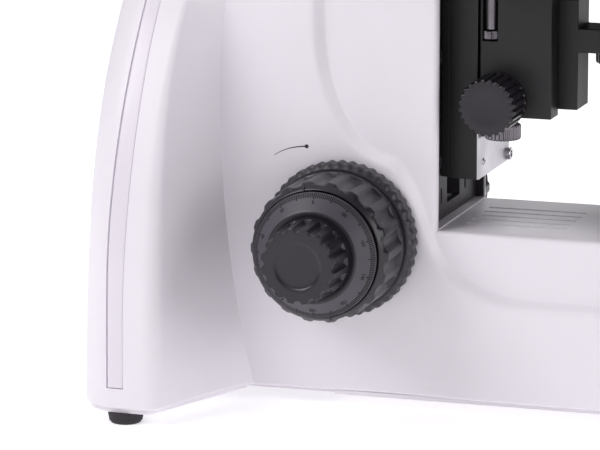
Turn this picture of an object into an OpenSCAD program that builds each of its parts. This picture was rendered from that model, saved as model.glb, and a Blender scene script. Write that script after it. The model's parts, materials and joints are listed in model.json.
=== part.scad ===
// Upright laboratory microscope with a one-sided T-shaped foot, low focus knobs and a
// tilted four-place nosepiece. Millimetres, +Z up, the user sits on the -Y side.
// Modules are drawn about the optical axis (x = 0, y = 0); placed() moves that axis so
// that the origin is at the bottom centre of the whole object.

/* [Stand] */
// Height of the base deck above the bench
base_top = 77.5; // [76:0.5:80]
// Half width of the recessed side faces
side_x = 38; // [37:0.5:39]
// Half width of the raised side faces
bulge_x = 42; // [41:0.5:42.5]
// Half width of the rear wings at the foot
wing_x = 97; // [90:1:102]
// Y of the arm's front face
arm_front_y = 95.5; // [95:0.5:96]
// Y of the rear face at the foot
rear_y = 234; // [230:1:238]
// Height of the arm's underside
arm_under_z = 288; // [287:1:290]
// Height of the arm's top
arm_top_z = 330; // [328:1:334]
// Casting wall
wall = 4; // [3:0.5:5]

/* [Feet] */
// Height of a rubber foot
foot_h = 5; // [4:0.5:8]
// Radius of a rubber foot
foot_r = 7.5; // [6:0.5:9]

/* [Focus drive] */
// Y of the focus knob axis
knob_y = 134; // [133:0.5:135]
// Z of the focus knob axis
knob_z = 74; // [73:0.5:75]
// Outer radius of the coarse knob
coarse_r = 29.5; // [27:0.5:30]
// Radius of the graduated drum
drum_r = 25.9; // [24:0.1:26]
// Radius of the fine knob
fine_r = 16; // [14:0.5:17]
// Radius of the limit ring
limit_r = 32.5; // [31:0.5:34]
// Pitch radius of the coarse pinion
pinion_r = 6.5; // [6.2:0.1:7]

/* [Stage] */
// Height of the stage top at rest
stage_z = 200; // [199:0.5:201]
// Half width of the moving stage plate
stage_x = 92; // [80:1:96]

/* [Condenser] */
// Y of the condenser knob axis
cond_knob_y = 74.4; // [74.2:0.1:74.6]
// Z of the condenser knob axis
cond_knob_z = 130.4; // [129:0.1:131]
// Radius of the condenser knob
cond_knob_r = 11.5; // [10:0.5:12]

/* [Nosepiece] */
// Radius of the circle that the objectives sit on
nose_r = 23; // [22.5:0.5:23.5]
// Tilt of the turret axis
nose_tilt = 14; // [13.5:0.5:14.5]

/* [Head] */
// Upward tilt of the eyepiece tubes
tube_tilt = 30; // [30:1:30]
// Distance from the tube pivot to each eyepiece axis
tube_offset = 37.5; // [36:0.5:38]
// Droop of the tubes at rest, which sets the eye distance
tube_droop = 31; // [28:1:33]

/* [Hidden] */
$fn = 72;

body_z = foot_h + 2;                 // underside of the castings
split_z = 50;                        // joint face between base and arm castings
plate_t = 2;
front_cy = -33;                      // centre of the rounded base front
arm_nose_y = -8;                     // centre of the rounded arm nose
throat_r = 26;
top_r = 36;
cavity_x = side_x - 6;
wing_merge_z = 186;                  // height at which the wings run into the arm
run_fit = 0.05;                      // radial clearance of a turning fit
gap = 0.3;
panel_y = arm_front_y + 3.8;         // front of the black guide panel
panel_t = 2.5;
rack_y = panel_y + 6.4;              // back of the rack on the focus slide
drive_r = 10;
drive_y = rack_y + drive_r + gap;
drive_z = knob_z + 30;
train = sqrt(pow(knob_y - drive_y, 2) + pow(drive_z - knob_z, 2));
idler_r = (train - pinion_r - drive_r) / 2 - 0.15;
idler_t = (pinion_r + idler_r + 0.15) / train;
idler_y = knob_y + (drive_y - knob_y) * idler_t;
idler_z = knob_z + (drive_z - knob_z) * idler_t;
light_z = 36;                        // height of the lamp's beam in the base
collector_y = 115;                   // middle of the collector lens
stop_x = -12.5;                      // axis of the condenser stop wheel
stop_y = 74.6;
filter_x = 29.5;                     // pivot of the swing-out filter holder
finger_x = 44;                       // pivot of the sprung specimen finger
finger_y = 38;
specimen_z = stage_z + 9.2;          // specimen plane with the stage raised to focus
shoulder_z = specimen_z + 45;        // objective shoulder
cone_len = nose_r / sin(nose_tilt);  // from the apex of the objective cone to the shoulder
apex_z = shoulder_z + cone_len;
clamp_z = arm_top_z - 4.2;           // axis of the head clamp screw
pivot_y = -40;                       // centre of the tube pivot on the head's front face
pivot_z = 367;
head_base_z = arm_top_z + 8;
head_top_z = arm_top_z + 68;
front_reach = -pivot_y + 78 * cos(tube_tilt) + 17 * sin(tube_tilt)
    + tube_offset * sin(tube_droop) * sin(tube_tilt);
mid_y = (rear_y - front_reach) / 2;

module placed() translate([0, -mid_y, 0]) children();
module both_sides() { children(); mirror([1, 0, 0]) children(); }
module bar_x(x0, x1, r, y, z) translate([x0, y, z]) rotate([0, 90, 0]) cylinder(h = x1 - x0, r = r);
module block(x, y, z) translate([x[0], y[0], z[0]]) cube([x[1] - x[0], y[1] - y[0], z[1] - z[0]]);
module post(x, y, z, r) translate([x, y, z[0]]) cylinder(h = z[1] - z[0], r = r);
// Extrudes an outline drawn as (y, z) along X, from x0 to x1
module side_extrude(x0, x1) translate([x0, 0, 0]) rotate([90, 0, 90]) linear_extrude(x1 - x0) children();
module fluted(r, n, flute_r, depth) difference() {
    circle(r);
    for (i = [0:n - 1]) rotate(i * 360 / n) translate([r + flute_r - depth, 0]) circle(flute_r, $fn = 24);
}

function arc(c, r, a0, a1, n) = [for (i = [0:n]) let (a = a0 + (a1 - a0) * i / n)
    [c[0] + r * cos(a), c[1] + r * sin(a)]];
function bezier(p, n) = [for (i = [0:n]) let (t = i / n, u = 1 - t)
    u * u * u * p[0] + 3 * u * u * t * p[1] + 3 * u * t * t * p[2] + t * t * t * p[3]];
// Half width of the wings at height z: a convex A shape that runs into the arm
function wing_half(z) = bulge_x + (wing_x - bulge_x) * (1 - pow(z / wing_merge_z, 3.7));

// ---- stand ----

// The raised lower rear part of each side face, as (y, z)
module raised_outline() polygon(concat(
    [[-80, 49]], [[57, 49.5]],
    bezier([[57, 49.5], [76, 50], [92, 59], [97.5, 74]], 8),
    bezier([[97.5, 74], [103, 89], [109, 105], [116, 106.5]], 8),
    bezier([[116, 106.5], [135, 110], [146, 135], [146, 165]], 8),
    [[146, 262]],
    bezier([[146, 262], [146, 292], [126, 308], [104, 308]], 8),
    [[-60, 308], [-60, 400], [260, 400], [260, -10], [-80, -10]]));

module core_plan(half) {
    translate([-half, front_cy]) square([2 * half, rear_y - front_cy]);
    translate([0, front_cy]) circle(half);
}

module wing_plan(inset) both_sides() polygon(concat(
    [[0, 176 + inset], [side_x - 1, 176 + inset]],
    arc([wing_x - 8, 206], 8 - inset / 2, -66, 0, 5),
    arc([wing_x - 18, rear_y - 18], 18 - inset, 0, 90, 6),
    [[0, rear_y - inset]]));

module wing_front(inset) polygon(concat(
    [for (z = [0:6:180]) [wing_half(z) - inset, z]], [[bulge_x - inset, wing_merge_z]],
    [[inset - bulge_x, wing_merge_z]], [for (z = [180:-6:0]) [inset - wing_half(z), z]]));

module wings(z0, z1, inset) intersection() {
    translate([0, 0, z0]) linear_extrude(z1 - z0) wing_plan(inset);
    translate([0, 300, 0]) rotate([90, 0, 0]) linear_extrude(400) wing_front(inset);
}

module strip_grooves(z0, z1) both_sides() intersection() {
    block([0, 120], [211.5, 218.5], [z0, z1]);
    translate([0, 300, 0]) rotate([90, 0, 0]) linear_extrude(400) polygon(concat(
        [for (z = [12:6:180]) [wing_half(z) - 2.2, z]], [for (z = [180:-6:12]) [wing_half(z) + 6, z]]));
}

module base_casting() color([0.88, 0.86, 0.9]) difference() {
    union() {
        translate([0, 0, body_z]) linear_extrude(base_top - body_z) intersection() {
            core_plan(side_x);
            translate([-60, -90]) square([120, 90 + arm_front_y]);
        }
        translate([0, 0, body_z]) linear_extrude(split_z - body_z) core_plan(side_x);
        intersection() {
            translate([0, 0, body_z]) linear_extrude(base_top - body_z) core_plan(bulge_x);
            side_extrude(-60, 60) raised_outline();
            union() {
                block([-60, 60], [-90, arm_front_y], [0, base_top]);
                block([-60, 60], [-90, 260], [0, split_z]);
            }
        }
        wings(body_z, split_z, 0);
    }
    translate([0, 0, body_z - 1]) linear_extrude(split_z - body_z + 2) intersection() {
        core_plan(side_x - wall);
        translate([-60, -90]) square([120, 90 + rear_y - wall]);
    }
    translate([0, 0, body_z - 1]) linear_extrude(base_top - body_z - wall + 1) intersection() {
        core_plan(side_x - wall);
        translate([-60, -90]) square([120, 90 + arm_front_y - wall]);
    }
    wings(body_z - 1, split_z + 1, wall + 0.5);
    post(0, 0, [base_top - 10, base_top + 1], 22);
    for (i = [-2:2]) block([8 * i - 0.7, 8 * i + 0.7], [46, 88.5], [base_top - 5, base_top + 1]);
    bar_x(0, 60, 4.05, 30, 28);
    block([-34, 34], [rear_y - 3, rear_y + 1], [16, 46]);
    block([-32, 32], [rear_y - 10, rear_y], [18, 44]);
    strip_grooves(14, split_z + 1);
}

module arm_outline() polygon(concat(
    [[arm_front_y, split_z], [arm_front_y, arm_under_z - throat_r]],
    arc([arm_front_y - throat_r, arm_under_z - throat_r], throat_r, 0, 90, 10),
    [[-60, arm_under_z], [-60, arm_top_z]],
    arc([rear_y - 8 - top_r, arm_top_z - top_r], top_r, 90, 0, 8),
    [[rear_y, split_z]]));

module arm_plan(half) {
    translate([-half, arm_nose_y]) square([2 * half, 300]);
    translate([0, arm_nose_y]) circle(half);
}

module arm_casting() color([0.88, 0.86, 0.9]) difference() {
    union() {
        intersection() {
            side_extrude(-side_x, side_x) arm_outline();
            linear_extrude(400) arm_plan(side_x);
        }
        intersection() {
            side_extrude(-bulge_x, bulge_x) intersection() { arm_outline(); raised_outline(); }
            linear_extrude(400) arm_plan(bulge_x);
        }
        wings(split_z, wing_merge_z, 0);
    }
    block([-cavity_x, cavity_x], [108, rear_y - 12], [split_z - 1, arm_under_z - 8]);
    wings(split_z - 1, 150, wall + 0.5);
    block([-31, 31], [arm_front_y - 1, panel_y + panel_t], [base_top + 2, 236]);
    block([-16, 16], [panel_y, 109], [84, 226]);
    bar_x(-60, 60, 12, knob_y, knob_z);
    bar_x(-cavity_x - 4, cavity_x + 4, 3 + run_fit, idler_y, idler_z);
    bar_x(-cavity_x - 4, cavity_x + 4, 3 + run_fit, drive_y, drive_z);
    post(0, 0, [arm_under_z - 1, arm_top_z + 1], 15);
    post(0, 0, [arm_top_z - 5, arm_top_z + 1], 29 + run_fit);
    bar_x(20, 60, 2.5 + run_fit, 0, clamp_z);
    strip_grooves(split_z - 1, 176);
}

module bottom_plate() color([0.16, 0.15, 0.17]) difference() {
    union() {
        translate([0, 0, foot_h]) linear_extrude(plate_t) intersection() {
            core_plan(side_x - 1.5);
            translate([-60, -90]) square([120, 90 + rear_y - 2.5]);
        }
        wings(foot_h, foot_h + plate_t, 2.5);
    }
    for (i = [-5:5]) block([7 * i - 1.5, 7 * i + 1.5], [140, 200], [foot_h - 1, foot_h + 5]);
}

module rubber_feet() color([0.2, 0.17, 0.21]) for (p = [[28, -45], [88.5, 213.5]])
    both_sides() translate([p[0], p[1], 0]) {
        cylinder(h = 1.2, r1 = foot_r - 1.6, r2 = foot_r - 0.6);
        translate([0, 0, 1.2]) cylinder(h = foot_h - 1.2, r1 = foot_r - 0.6, r2 = foot_r);
    }

module rear_trim_strips() color([0.9, 0.88, 0.92]) both_sides() intersection() {
    block([0, 120], [211.7, 218.3], [16, 174]);
    translate([0, 300, 0]) rotate([90, 0, 0]) linear_extrude(400) polygon(concat(
        [for (z = [12:6:180]) [wing_half(z) - 2.2, z]], [for (z = [180:-6:12]) [wing_half(z) - 0.5, z]]));
}

module rear_panel() color([0.2, 0.2, 0.22]) difference() {
    block([-34, 34], [rear_y - 3, rear_y], [16, 46]);
    block([-26, 2], [rear_y - 4, rear_y + 1], [21, 41]);
    block([12, 26], [rear_y - 4, rear_y + 1], [20.5, 41.5]);
}

module power_inlet() color([0.12, 0.12, 0.13]) {
    difference() {
        block([-25.8, 1.8], [rear_y - 28, rear_y - 0.5], [21.2, 40.8]);
        block([-23.5, -0.5], [rear_y - 22, rear_y], [23.2, 38.8]);
    }
    for (i = [-1:1]) block([-12 + 7 * i - 1, -12 + 7 * i + 1], [rear_y - 24, rear_y - 5], [29, 33]);
}

module power_rocker() color([0.1, 0.1, 0.11]) translate([19, rear_y - 7.5, 31]) rotate([8, 0, 0]) {
    rotate([0, 90, 0]) translate([0, 0, -6.5]) linear_extrude(13) polygon([
        [-9.6, 5.4], [0, 4.2], [9.6, 5.4], [8.4, -2], [2, -4], [-2, -4], [-8.4, -2]]);
    bar_x(-8.5, 8.5, 1.5, 0, 0);
}

module power_board() color([0.1, 0.4, 0.25]) {
    block([-30, 30], [150, 196], [9, 10.6]);
    block([4, 28], [154, 182], [10.6, 30]);
    block([-28, -12], [158, 176], [10.6, 22]);
    for (x = [-27, 27], y = [153, 193]) post(x, y, [body_z, 9], 2.5);
}

// ---- light path in the base ----

module lamp_socket() color([0.75, 0.73, 0.7]) {
    block([-12, 12], [122, 138], [body_z, 22]);
    difference() {
        block([-12, 12], [124, 136], [22, 30]);
        post(0, 130, [24, 31], 6.2);
    }
    difference() {
        block([-19, 19], [collector_y - 5, collector_y + 5], [body_z, light_z + 19]);
        translate([0, 100, light_z]) rotate([-90, 0, 0]) cylinder(h = 30, r = 16);
    }
}

module halogen_lamp() color([0.9, 0.9, 0.85]) {
    post(0, 130, [24, 30], 6);
    post(0, 130, [30, 42], 6);
    translate([0, 130, 42]) sphere(6);
}

module collector_lens() color([0.8, 0.9, 0.95]) translate([0, collector_y, light_z]) rotate([90, 0, 0])
    intersection() {
        cylinder(h = 12, r = 16, center = true);
        translate([0, 0, -18]) sphere(24);
        translate([0, 0, 18]) sphere(24);
    }

module deflecting_mirror() color([0.85, 0.87, 0.9]) side_extrude(-18, 18) polygon([[-26, body_z],
    [22, body_z], [22, light_z - 20], [20, light_z - 20], [-20, light_z + 20], [-26, light_z + 20]]);

module field_lens_housing() color([0.2, 0.2, 0.22]) difference() {
    union() {
        post(0, 0, [base_top - 12, base_top], 22);
        post(0, 0, [base_top, base_top + 4], 32);
        post(0, 0, [base_top + 4, base_top + 11], 24);
    }
    post(0, 0, [base_top - 13, base_top + 12], 17);
}

module field_lens() color([0.8, 0.9, 0.95]) intersection() {
    post(0, 0, [base_top + 2, base_top + 11], 17);
    translate([0, 0, base_top - 35]) sphere(45.5);
}

module field_iris_ring() color([0.24, 0.24, 0.26]) translate([0, 0, base_top + 4 + gap]) {
    linear_extrude(6) difference() {
        fluted(29.5, 48, 1.6, 0.7);
        circle(24 + run_fit);
    }
    block([27.5, 35], [-1.5, 1.5], [1.5, 4.5]);
}

module dimmer_dial() color([0.2, 0.2, 0.22]) {
    bar_x(side_x - 14, bulge_x + 1, 4, 30, 28);
    translate([bulge_x + 0.6, 30, 28]) rotate([0, 90, 0]) linear_extrude(9) fluted(13, 24, 1.8, 0.8);
}

// ---- focus guide and drive ----

module guide_panel() color([0.24, 0.23, 0.26]) difference() {
    block([-31, 31], [panel_y, panel_y + panel_t], [base_top + 2, 236]);
    block([-9.5, 9.5], [panel_y - 1, panel_y + 5], [84, 226]);
    for (x = [-18, 18]) block([x - 0.9, x + 0.9], [panel_y - 1, panel_y + 5], [85, 91.5]);
}

module guide_rails() color([0.6, 0.6, 0.62]) both_sides()
    block([9.3, 16], [panel_y + panel_t, 108], [86, 224]);

module focus_bushes() color([0.75, 0.62, 0.35]) both_sides() difference() {
    union() {
        bar_x(26, 52.6, 12, knob_y, knob_z);
        bar_x(bulge_x, bulge_x + 1.2, 15, knob_y, knob_z);
    }
    bar_x(20, 60, 5 + run_fit, knob_y, knob_z);
}

module gear_disc(r, n, w) translate([-w / 2, 0, 0]) rotate([90, 0, 90])
    linear_extrude(w) fluted(r, n, 0.8, 0.9);

module coarse_shaft() color([0.65, 0.65, 0.67]) difference() {
    union() {
        bar_x(-79, 79, 5, knob_y, knob_z);
        translate([0, knob_y, knob_z]) gear_disc(pinion_r, 18, 12);
    }
    bar_x(-81, 81, 3 + run_fit, knob_y, knob_z);
}

module idler_gear() color([0.72, 0.6, 0.35]) translate([0, idler_y, idler_z]) {
    gear_disc(idler_r, 26, 9);
    bar_x(-cavity_x - 3.5, cavity_x + 3.5, 3, 0, 0);
}

module drive_gear() color([0.72, 0.6, 0.35]) translate([0, drive_y, drive_z]) {
    gear_disc(drive_r, 28, 9);
    bar_x(-cavity_x - 3.5, cavity_x + 3.5, 3, 0, 0);
}

// Drawn along +Z from the body outwards, then laid on the knob axis by on_left and on_right
module on_left() translate([0, knob_y, knob_z]) rotate([0, -90, 0]) children();
module on_right() translate([0, knob_y, knob_z]) rotate([0, 90, 0]) children();

module focus_ring() difference() {
    union() {
        translate([0, 0, 43.6]) linear_extrude(7.2) fluted(limit_r, 44, 1.9, 0.7);
        translate([0, 0, 50.8]) cylinder(h = 1.6, r1 = limit_r - 0.9, r2 = limit_r - 2);
    }
    translate([0, 0, 40]) cylinder(h = 20, r = 15 + 0.4);
    translate([0, 0, 46]) cylinder(h = 20, r = 12 + run_fit);
}

module ring_hub() difference() {
    translate([0, 0, 46]) cylinder(h = 6.4, r = 16);
    translate([0, 0, 40]) cylinder(h = 20, r = 12 + run_fit);
}

module limit_ring() color([0.24, 0.23, 0.26]) on_left() { focus_ring(); ring_hub(); }
module tension_ring() color([0.24, 0.23, 0.26]) on_right() { focus_ring(); ring_hub(); }

module coarse_knob() difference() {
    union() {
        translate([0, 0, 53]) cylinder(h = 5, r = coarse_r);
        translate([0, 0, 58]) linear_extrude(19) fluted(coarse_r - 0.6, 18, 3.6, 1.5);
        translate([0, 0, 77]) cylinder(h = 3, r1 = coarse_r - 0.8, r2 = coarse_r - 2);
    }
    translate([0, 0, 78]) cylinder(h = 3, r = drum_r - 4);
    translate([0, 0, 50]) cylinder(h = 40, r = 5);
}
module coarse_knob_left() color([0.25, 0.24, 0.27]) on_left() coarse_knob();
module coarse_knob_right() color([0.25, 0.24, 0.27]) on_right() coarse_knob();

module fine_spindle() color([0.65, 0.65, 0.67]) bar_x(-103, 103, 3, knob_y, knob_z);

module fine_knob() difference() {
    union() {
        translate([0, 0, 80.4]) cylinder(h = 0.8, r = drum_r);
        translate([0, 0, 81.2]) cylinder(h = 5.8, r1 = drum_r, r2 = 19.1);
        translate([0, 0, 87]) cylinder(h = 1.5, r = 16.6);
        translate([0, 0, 88.5]) linear_extrude(16.5) fluted(fine_r, 12, 2.8, 1.2);
    }
    translate([0, 0, 104.4]) cylinder(h = 1, r = 9.5);
    translate([0, 0, 70]) cylinder(h = 33, r = 3);
}
module fine_knob_left() color([0.25, 0.24, 0.27]) on_left() fine_knob();
module fine_knob_right() color([0.25, 0.24, 0.27]) on_right() fine_knob();

module focus_slide() {
    color([0.24, 0.23, 0.26]) block([-21, 21], [82.8, panel_y - 0.4], [96.5, 184]);
    color([0.6, 0.6, 0.62]) block([20, 27.4], [82.8, 95.3], [96.5, 122.4]);
    color([0.6, 0.6, 0.62]) block([-9, 9], [panel_y - 0.4, rack_y], [100, 180]);
}

module slide_screws() color([0.7, 0.7, 0.72]) for (at = [[-12.3, 103], [24, 99.8]])
    translate([at[0], 82.8, at[1]]) rotate([90, 0, 0]) difference() {
        cylinder(h = 2, r = 2.75);
        translate([0, 0, 0.8]) cylinder(h = 2, r = 1.45, $fn = 6);
    }

// ---- stage ----

module stage_carrier() color([0.2, 0.19, 0.22]) difference() {
    union() {
        block([-21, 21], [52, 82.5], [123.5, 186]);
        difference() {
            block([-46, 46], [-4, 79], [179, 186]);
            post(0, 0, [170, 190], 32);
            block([-32, 32], [-10, 0], [170, 190]);
        }
    }
    block([-9.2, 9.2], [50, 70], [120, 176]);
    block([-9.2, 9.2], [69, 80], [124.5, 137]);
    bar_x(-22, 17, 3 + run_fit, cond_knob_y, cond_knob_z);
    block([-22, -14], [75, 82.2], [155, 177]);
    post(stop_x, stop_y, [120, 126.7], 3 + run_fit);
}

module stage_plate() color([0.15, 0.15, 0.16]) difference() {
    block([-80, 80], [-58, 80], [186, 194.5]);
    post(0, 0, [180, 200], 30);
    block([-30, 30], [-40, 0], [180, 200]);
    post(66, 40, [180, 200], 7 + run_fit);
}

module stage_top_plate() color([0.12, 0.12, 0.13]) difference() {
    block([-stage_x, stage_x], [-66, 66], [195, stage_z]);
    block([-18, 18], [-22, 34], [190, stage_z + 1]);
    post(0, -22, [190, stage_z + 1], 18);
    post(0, 34, [190, stage_z + 1], 18);
}

module stage_knob_y() color([0.2, 0.2, 0.22]) difference() {
    union() {
        post(66, 40, [148, 194], 7);
        translate([66, 40, 134]) linear_extrude(15) fluted(15, 24, 2, 0.9);
    }
    post(66, 40, [130, 200], 3.5 + run_fit);
}

module stage_knob_x() color([0.2, 0.2, 0.22]) {
    post(66, 40, [112, 194], 3.5);
    translate([66, 40, 113]) linear_extrude(20.4) fluted(11, 20, 1.8, 0.8);
}

module specimen_holder() color([0.3, 0.3, 0.32]) {
    block([-48, 48], [46, 57], [stage_z + gap, stage_z + gap + 5]);
    block([-48, -41], [6, 46], [stage_z + gap, stage_z + gap + 0.9]);
    block([-41, -36], [6, 10], [stage_z + gap, stage_z + gap + 0.9]);
    block([38, 50], [32, 47], [stage_z + gap + 1.3, stage_z + gap + 4]);
    post(finger_x, finger_y, [stage_z + gap, stage_z + gap + 2], 1.5);
}

module specimen_finger() color([0.7, 0.7, 0.72]) difference() {
    translate([finger_x, finger_y, stage_z + gap]) {
        cylinder(h = 0.9, r = 5);
        rotate(-94) {
            block([0, 34], [-2.5, 2.5], [0, 0.9]);
            block([29, 34], [-9, 2.5], [0, 0.9]);
        }
    }
    post(finger_x, finger_y, [stage_z, stage_z + 3], 1.5 + run_fit);
}

// ---- condenser ----

module condenser_bracket() color([0.16, 0.16, 0.17]) difference() {
    union() {
        block([-8.9, 8.9], [44, 66], [126, 172]);
        block([-4, 4], [66, 69.5], [126, 172]);
        block([-8.9, 8.9], [24, 50], [150, 160]);
        post(0, 0, [150, 160], 30);
        post(filter_x, 0, [150, 160], 5);
        post(filter_x, 0, [128, 151], 1.5);
    }
    post(0, 0, [140, 170], 22);
}

module condenser_body() color([0.14, 0.14, 0.15]) difference() {
    union() {
        post(0, 0, [134, 142.2], 20);
        post(0, 0, [142.2, 166], 22);
        translate([0, 0, 166]) cylinder(h = 20, r1 = 21, r2 = 17);
        post(0, 0, [186, 194], 15);
    }
    post(0, 0, [130, 166], 14);
    post(0, 0, [160, 200], 12);
}

module condenser_lens() color([0.8, 0.9, 0.95]) intersection() {
    post(0, 0, [186, 196], 12);
    translate([0, 0, 170]) sphere(26);
}

module condenser_stop_wheel() color([0.62, 0.61, 0.63]) translate([stop_x, stop_y, 0]) {
    translate([0, 0, 113]) linear_extrude(6.5) fluted(7.4, 26, 1, 0.4);
    post(0, 0, [119.5, 126.3], 3);
}

module condenser_knob() color([0.18, 0.18, 0.19]) {
    bar_x(-24, 16, 3, cond_knob_y, cond_knob_z);
    translate([0, cond_knob_y, cond_knob_z]) gear_disc(4.6, 14, 8);
    translate([-39.5, cond_knob_y, cond_knob_z]) rotate([0, 90, 0])
        linear_extrude(18) fluted(cond_knob_r, 24, 1.5, 0.6);
}

module iris_ring() color([0.2, 0.2, 0.22]) difference() {
    union() {
        translate([0, 0, 136]) linear_extrude(6) fluted(25.5, 40, 1.6, 0.6);
        block([-2, 2], [-36, -24], [138, 141]);
    }
    post(0, 0, [130, 150], 20 + run_fit);
}

module filter_holder() color([0.2, 0.2, 0.22]) difference() {
    union() {
        post(0, 0, [128, 133.4], 22);
        post(filter_x, 0, [128, 133.4], 5);
        block([14, filter_x], [-5, 5], [128, 133.4]);
        block([-30, -18], [-3, 3], [128, 131]);
    }
    post(0, 0, [130, 140], 17.2);
    post(0, 0, [120, 140], 15.5);
    post(filter_x, 0, [120, 140], 1.5 + run_fit);
}

// ---- nosepiece ----

// Puts a piece that is drawn about the turret axis, with s measured down from the apex
module on_turret() translate([0, 0, apex_z]) rotate([nose_tilt, 0, 0]) mirror([0, 0, 1]) children();
// Puts a piece that is drawn about an objective axis, with its shoulder at z = 0, tip down
module on_seat(turn) translate([0, 0, apex_z]) rotate([nose_tilt, 0, 0]) rotate([0, 0, turn])
    rotate([-nose_tilt, 0, 0]) translate([0, 0, -cone_len]) children();

module nosepiece_mount() color([0.22, 0.22, 0.24]) difference() {
    intersection() {
        on_turret() translate([0, 0, 40]) cylinder(h = 36.6, r = 31);
        translate([-60, -60, arm_under_z - 40]) cube([120, 160, 40]);
    }
    on_turret() translate([0, 0, 30]) cylinder(h = 50, r = 6 + run_fit);
    post(0, 0, [200, 300], 11);
}

module nosepiece_turret() color([0.2, 0.2, 0.22]) difference() {
    on_turret() {
        rotate_extrude() polygon([[0, 77], [32, 77], [37, 81], [37, 90.2], [8, 98], [0, 98]]);
        translate([0, 0, 70]) cylinder(h = 8, r = 6);
        translate([0, 0, 80.6]) linear_extrude(8) fluted(38.6, 48, 1.4, 0.7);
    }
    for (i = [0:3]) on_seat(90 * i) {
        cylinder(h = 40, r = 10);
        mirror([0, 0, 1]) cylinder(h = 30, r = 13.2);
    }
}

module objective_barrel(len, r, tip_r) difference() {
    union() {
        cylinder(h = 4.4, r = 10);
        mirror([0, 0, 1]) rotate_extrude() polygon([[0, 0], [11.6, 0], [12, 0.6], [12, 8], [r, 10],
            [r, len - 10], [tip_r, len], [0, len]]);
    }
    translate([0, 0, -10]) cylinder(h = 20, r = 8);
}

module sprung_barrel(len, r) difference() {
    objective_barrel(len, r, 9);
    translate([0, 0, -len - 1]) cylinder(h = 16, r = 7.2 + run_fit);
}

module sprung_nose(start, len, tip_r) translate([0, 0, -start]) mirror([0, 0, 1])
    rotate_extrude() polygon([[0, -10], [7.2, -10], [7.2, 2], [tip_r, len - start], [0, len - start]]);

module objective_10x() color([0.75, 0.75, 0.77]) on_seat(0) objective_barrel(37, 11.5, 6);
module objective_4x() color([0.75, 0.75, 0.77]) on_seat(90) objective_barrel(27, 11.5, 9);
module objective_40x() color([0.75, 0.75, 0.77]) on_seat(270) sprung_barrel(34, 12);
module objective_100x() color([0.75, 0.75, 0.77]) on_seat(180) sprung_barrel(34, 12);
module nose_40x() color([0.85, 0.85, 0.87]) on_seat(270) sprung_nose(34, 44.2, 4);
module nose_100x() color([0.85, 0.85, 0.87]) on_seat(180) sprung_nose(34, 44.4, 3);

// ---- head ----

function head_face_y(z) = pivot_y + (z - pivot_z) * tan(tube_tilt);

module head_body() color([0.88, 0.86, 0.9]) difference() {
    union() {
        side_extrude(-37, 37) polygon([[head_face_y(head_base_z), head_base_z], [46, head_base_z],
            [50, head_top_z - 22], [32, head_top_z], [head_face_y(head_top_z), head_top_z]]);
        post(0, 0, [arm_top_z + gap, head_base_z], 34);
        post(0, 0, [arm_top_z - 4.7, head_base_z], 29);
        at_pivot() translate([0, 0, -6]) cylinder(h = 26, r = 8);
    }
    post(0, 0, [arm_top_z - 6, 372], 14);
}

// Draws along +Z from the pivot on the head's sloping front face, in the viewing direction
module at_pivot() translate([0, pivot_y, pivot_z]) rotate([90 - tube_tilt, 0, 0]) children();

module head_clamp_screw() color([0.6, 0.6, 0.62]) {
    bar_x(29.6, 43, 2.5, 0, clamp_z);
    translate([bulge_x + 1, 0, clamp_z]) rotate([0, 90, 0]) linear_extrude(12) fluted(7, 20, 1, 0.5);
}

module tube_arm(s0, s1) difference() {
    union() {
        translate([0, 0, s0]) cylinder(h = s1 - s0, r = 22);
        translate([tube_offset, 0, s0]) cylinder(h = s1 - s0, r = 17);
        translate([0, -14, s0]) cube([tube_offset, 28, s1 - s0]);
        translate([tube_offset, 0, s0]) cylinder(h = 38 - s0, r = 14.4);
    }
    translate([0, 0, -1]) cylinder(h = 40, r = 8 + run_fit);
    translate([tube_offset, 0, s0 + 3]) cylinder(h = 40, r = 11.6);
}

module eyetube_right() color([0.88, 0.86, 0.9]) at_pivot() rotate(-tube_droop) tube_arm(0.4, 9);
module eyetube_left() color([0.88, 0.86, 0.9]) at_pivot() rotate(180 + tube_droop)
    tube_arm(9.4, 18);

module eyepiece() color([0.16, 0.16, 0.17]) translate([tube_offset, 0, 0]) difference() {
    union() {
        translate([0, 0, 22]) cylinder(h = 16.4, r = 11.6 - run_fit);
        translate([0, 0, 38.4]) cylinder(h = 26, r = 15.5);
        translate([0, 0, 64.4]) cylinder(h = 13.6, r1 = 15.5, r2 = 17);
    }
    translate([0, 0, 72]) cylinder(h = 10, r = 12.5);
    translate([0, 0, 20]) cylinder(h = 36, r = 9.5);
}
module eyepiece_right() at_pivot() rotate(-tube_droop) eyepiece();
module eyepiece_left() at_pivot() rotate(180 + tube_droop) eyepiece();

placed() base_casting();
placed() arm_casting();
placed() bottom_plate();
placed() rubber_feet();
placed() rear_trim_strips();
placed() rear_panel();
placed() power_inlet();
placed() power_rocker();
placed() power_board();
placed() lamp_socket();
placed() halogen_lamp();
placed() collector_lens();
placed() deflecting_mirror();
placed() field_lens_housing();
placed() field_lens();
placed() field_iris_ring();
placed() dimmer_dial();
placed() guide_panel();
placed() guide_rails();
placed() focus_bushes();
placed() nosepiece_mount();
placed() coarse_shaft();
placed() coarse_knob_left();
placed() coarse_knob_right();
placed() fine_spindle();
placed() fine_knob_left();
placed() fine_knob_right();
placed() idler_gear();
placed() drive_gear();
placed() limit_ring();
placed() tension_ring();
placed() focus_slide();
placed() slide_screws();
placed() stage_carrier();
placed() stage_plate();
placed() stage_top_plate();
placed() stage_knob_y();
placed() stage_knob_x();
placed() specimen_holder();
placed() specimen_finger();
placed() condenser_bracket();
placed() condenser_body();
placed() condenser_lens();
placed() condenser_stop_wheel();
placed() condenser_knob();
placed() iris_ring();
placed() filter_holder();
placed() nosepiece_turret();
placed() objective_4x();
placed() objective_10x();
placed() objective_40x();
placed() objective_100x();
placed() nose_40x();
placed() nose_100x();
placed() head_body();
placed() head_clamp_screw();
placed() eyetube_left();
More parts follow.
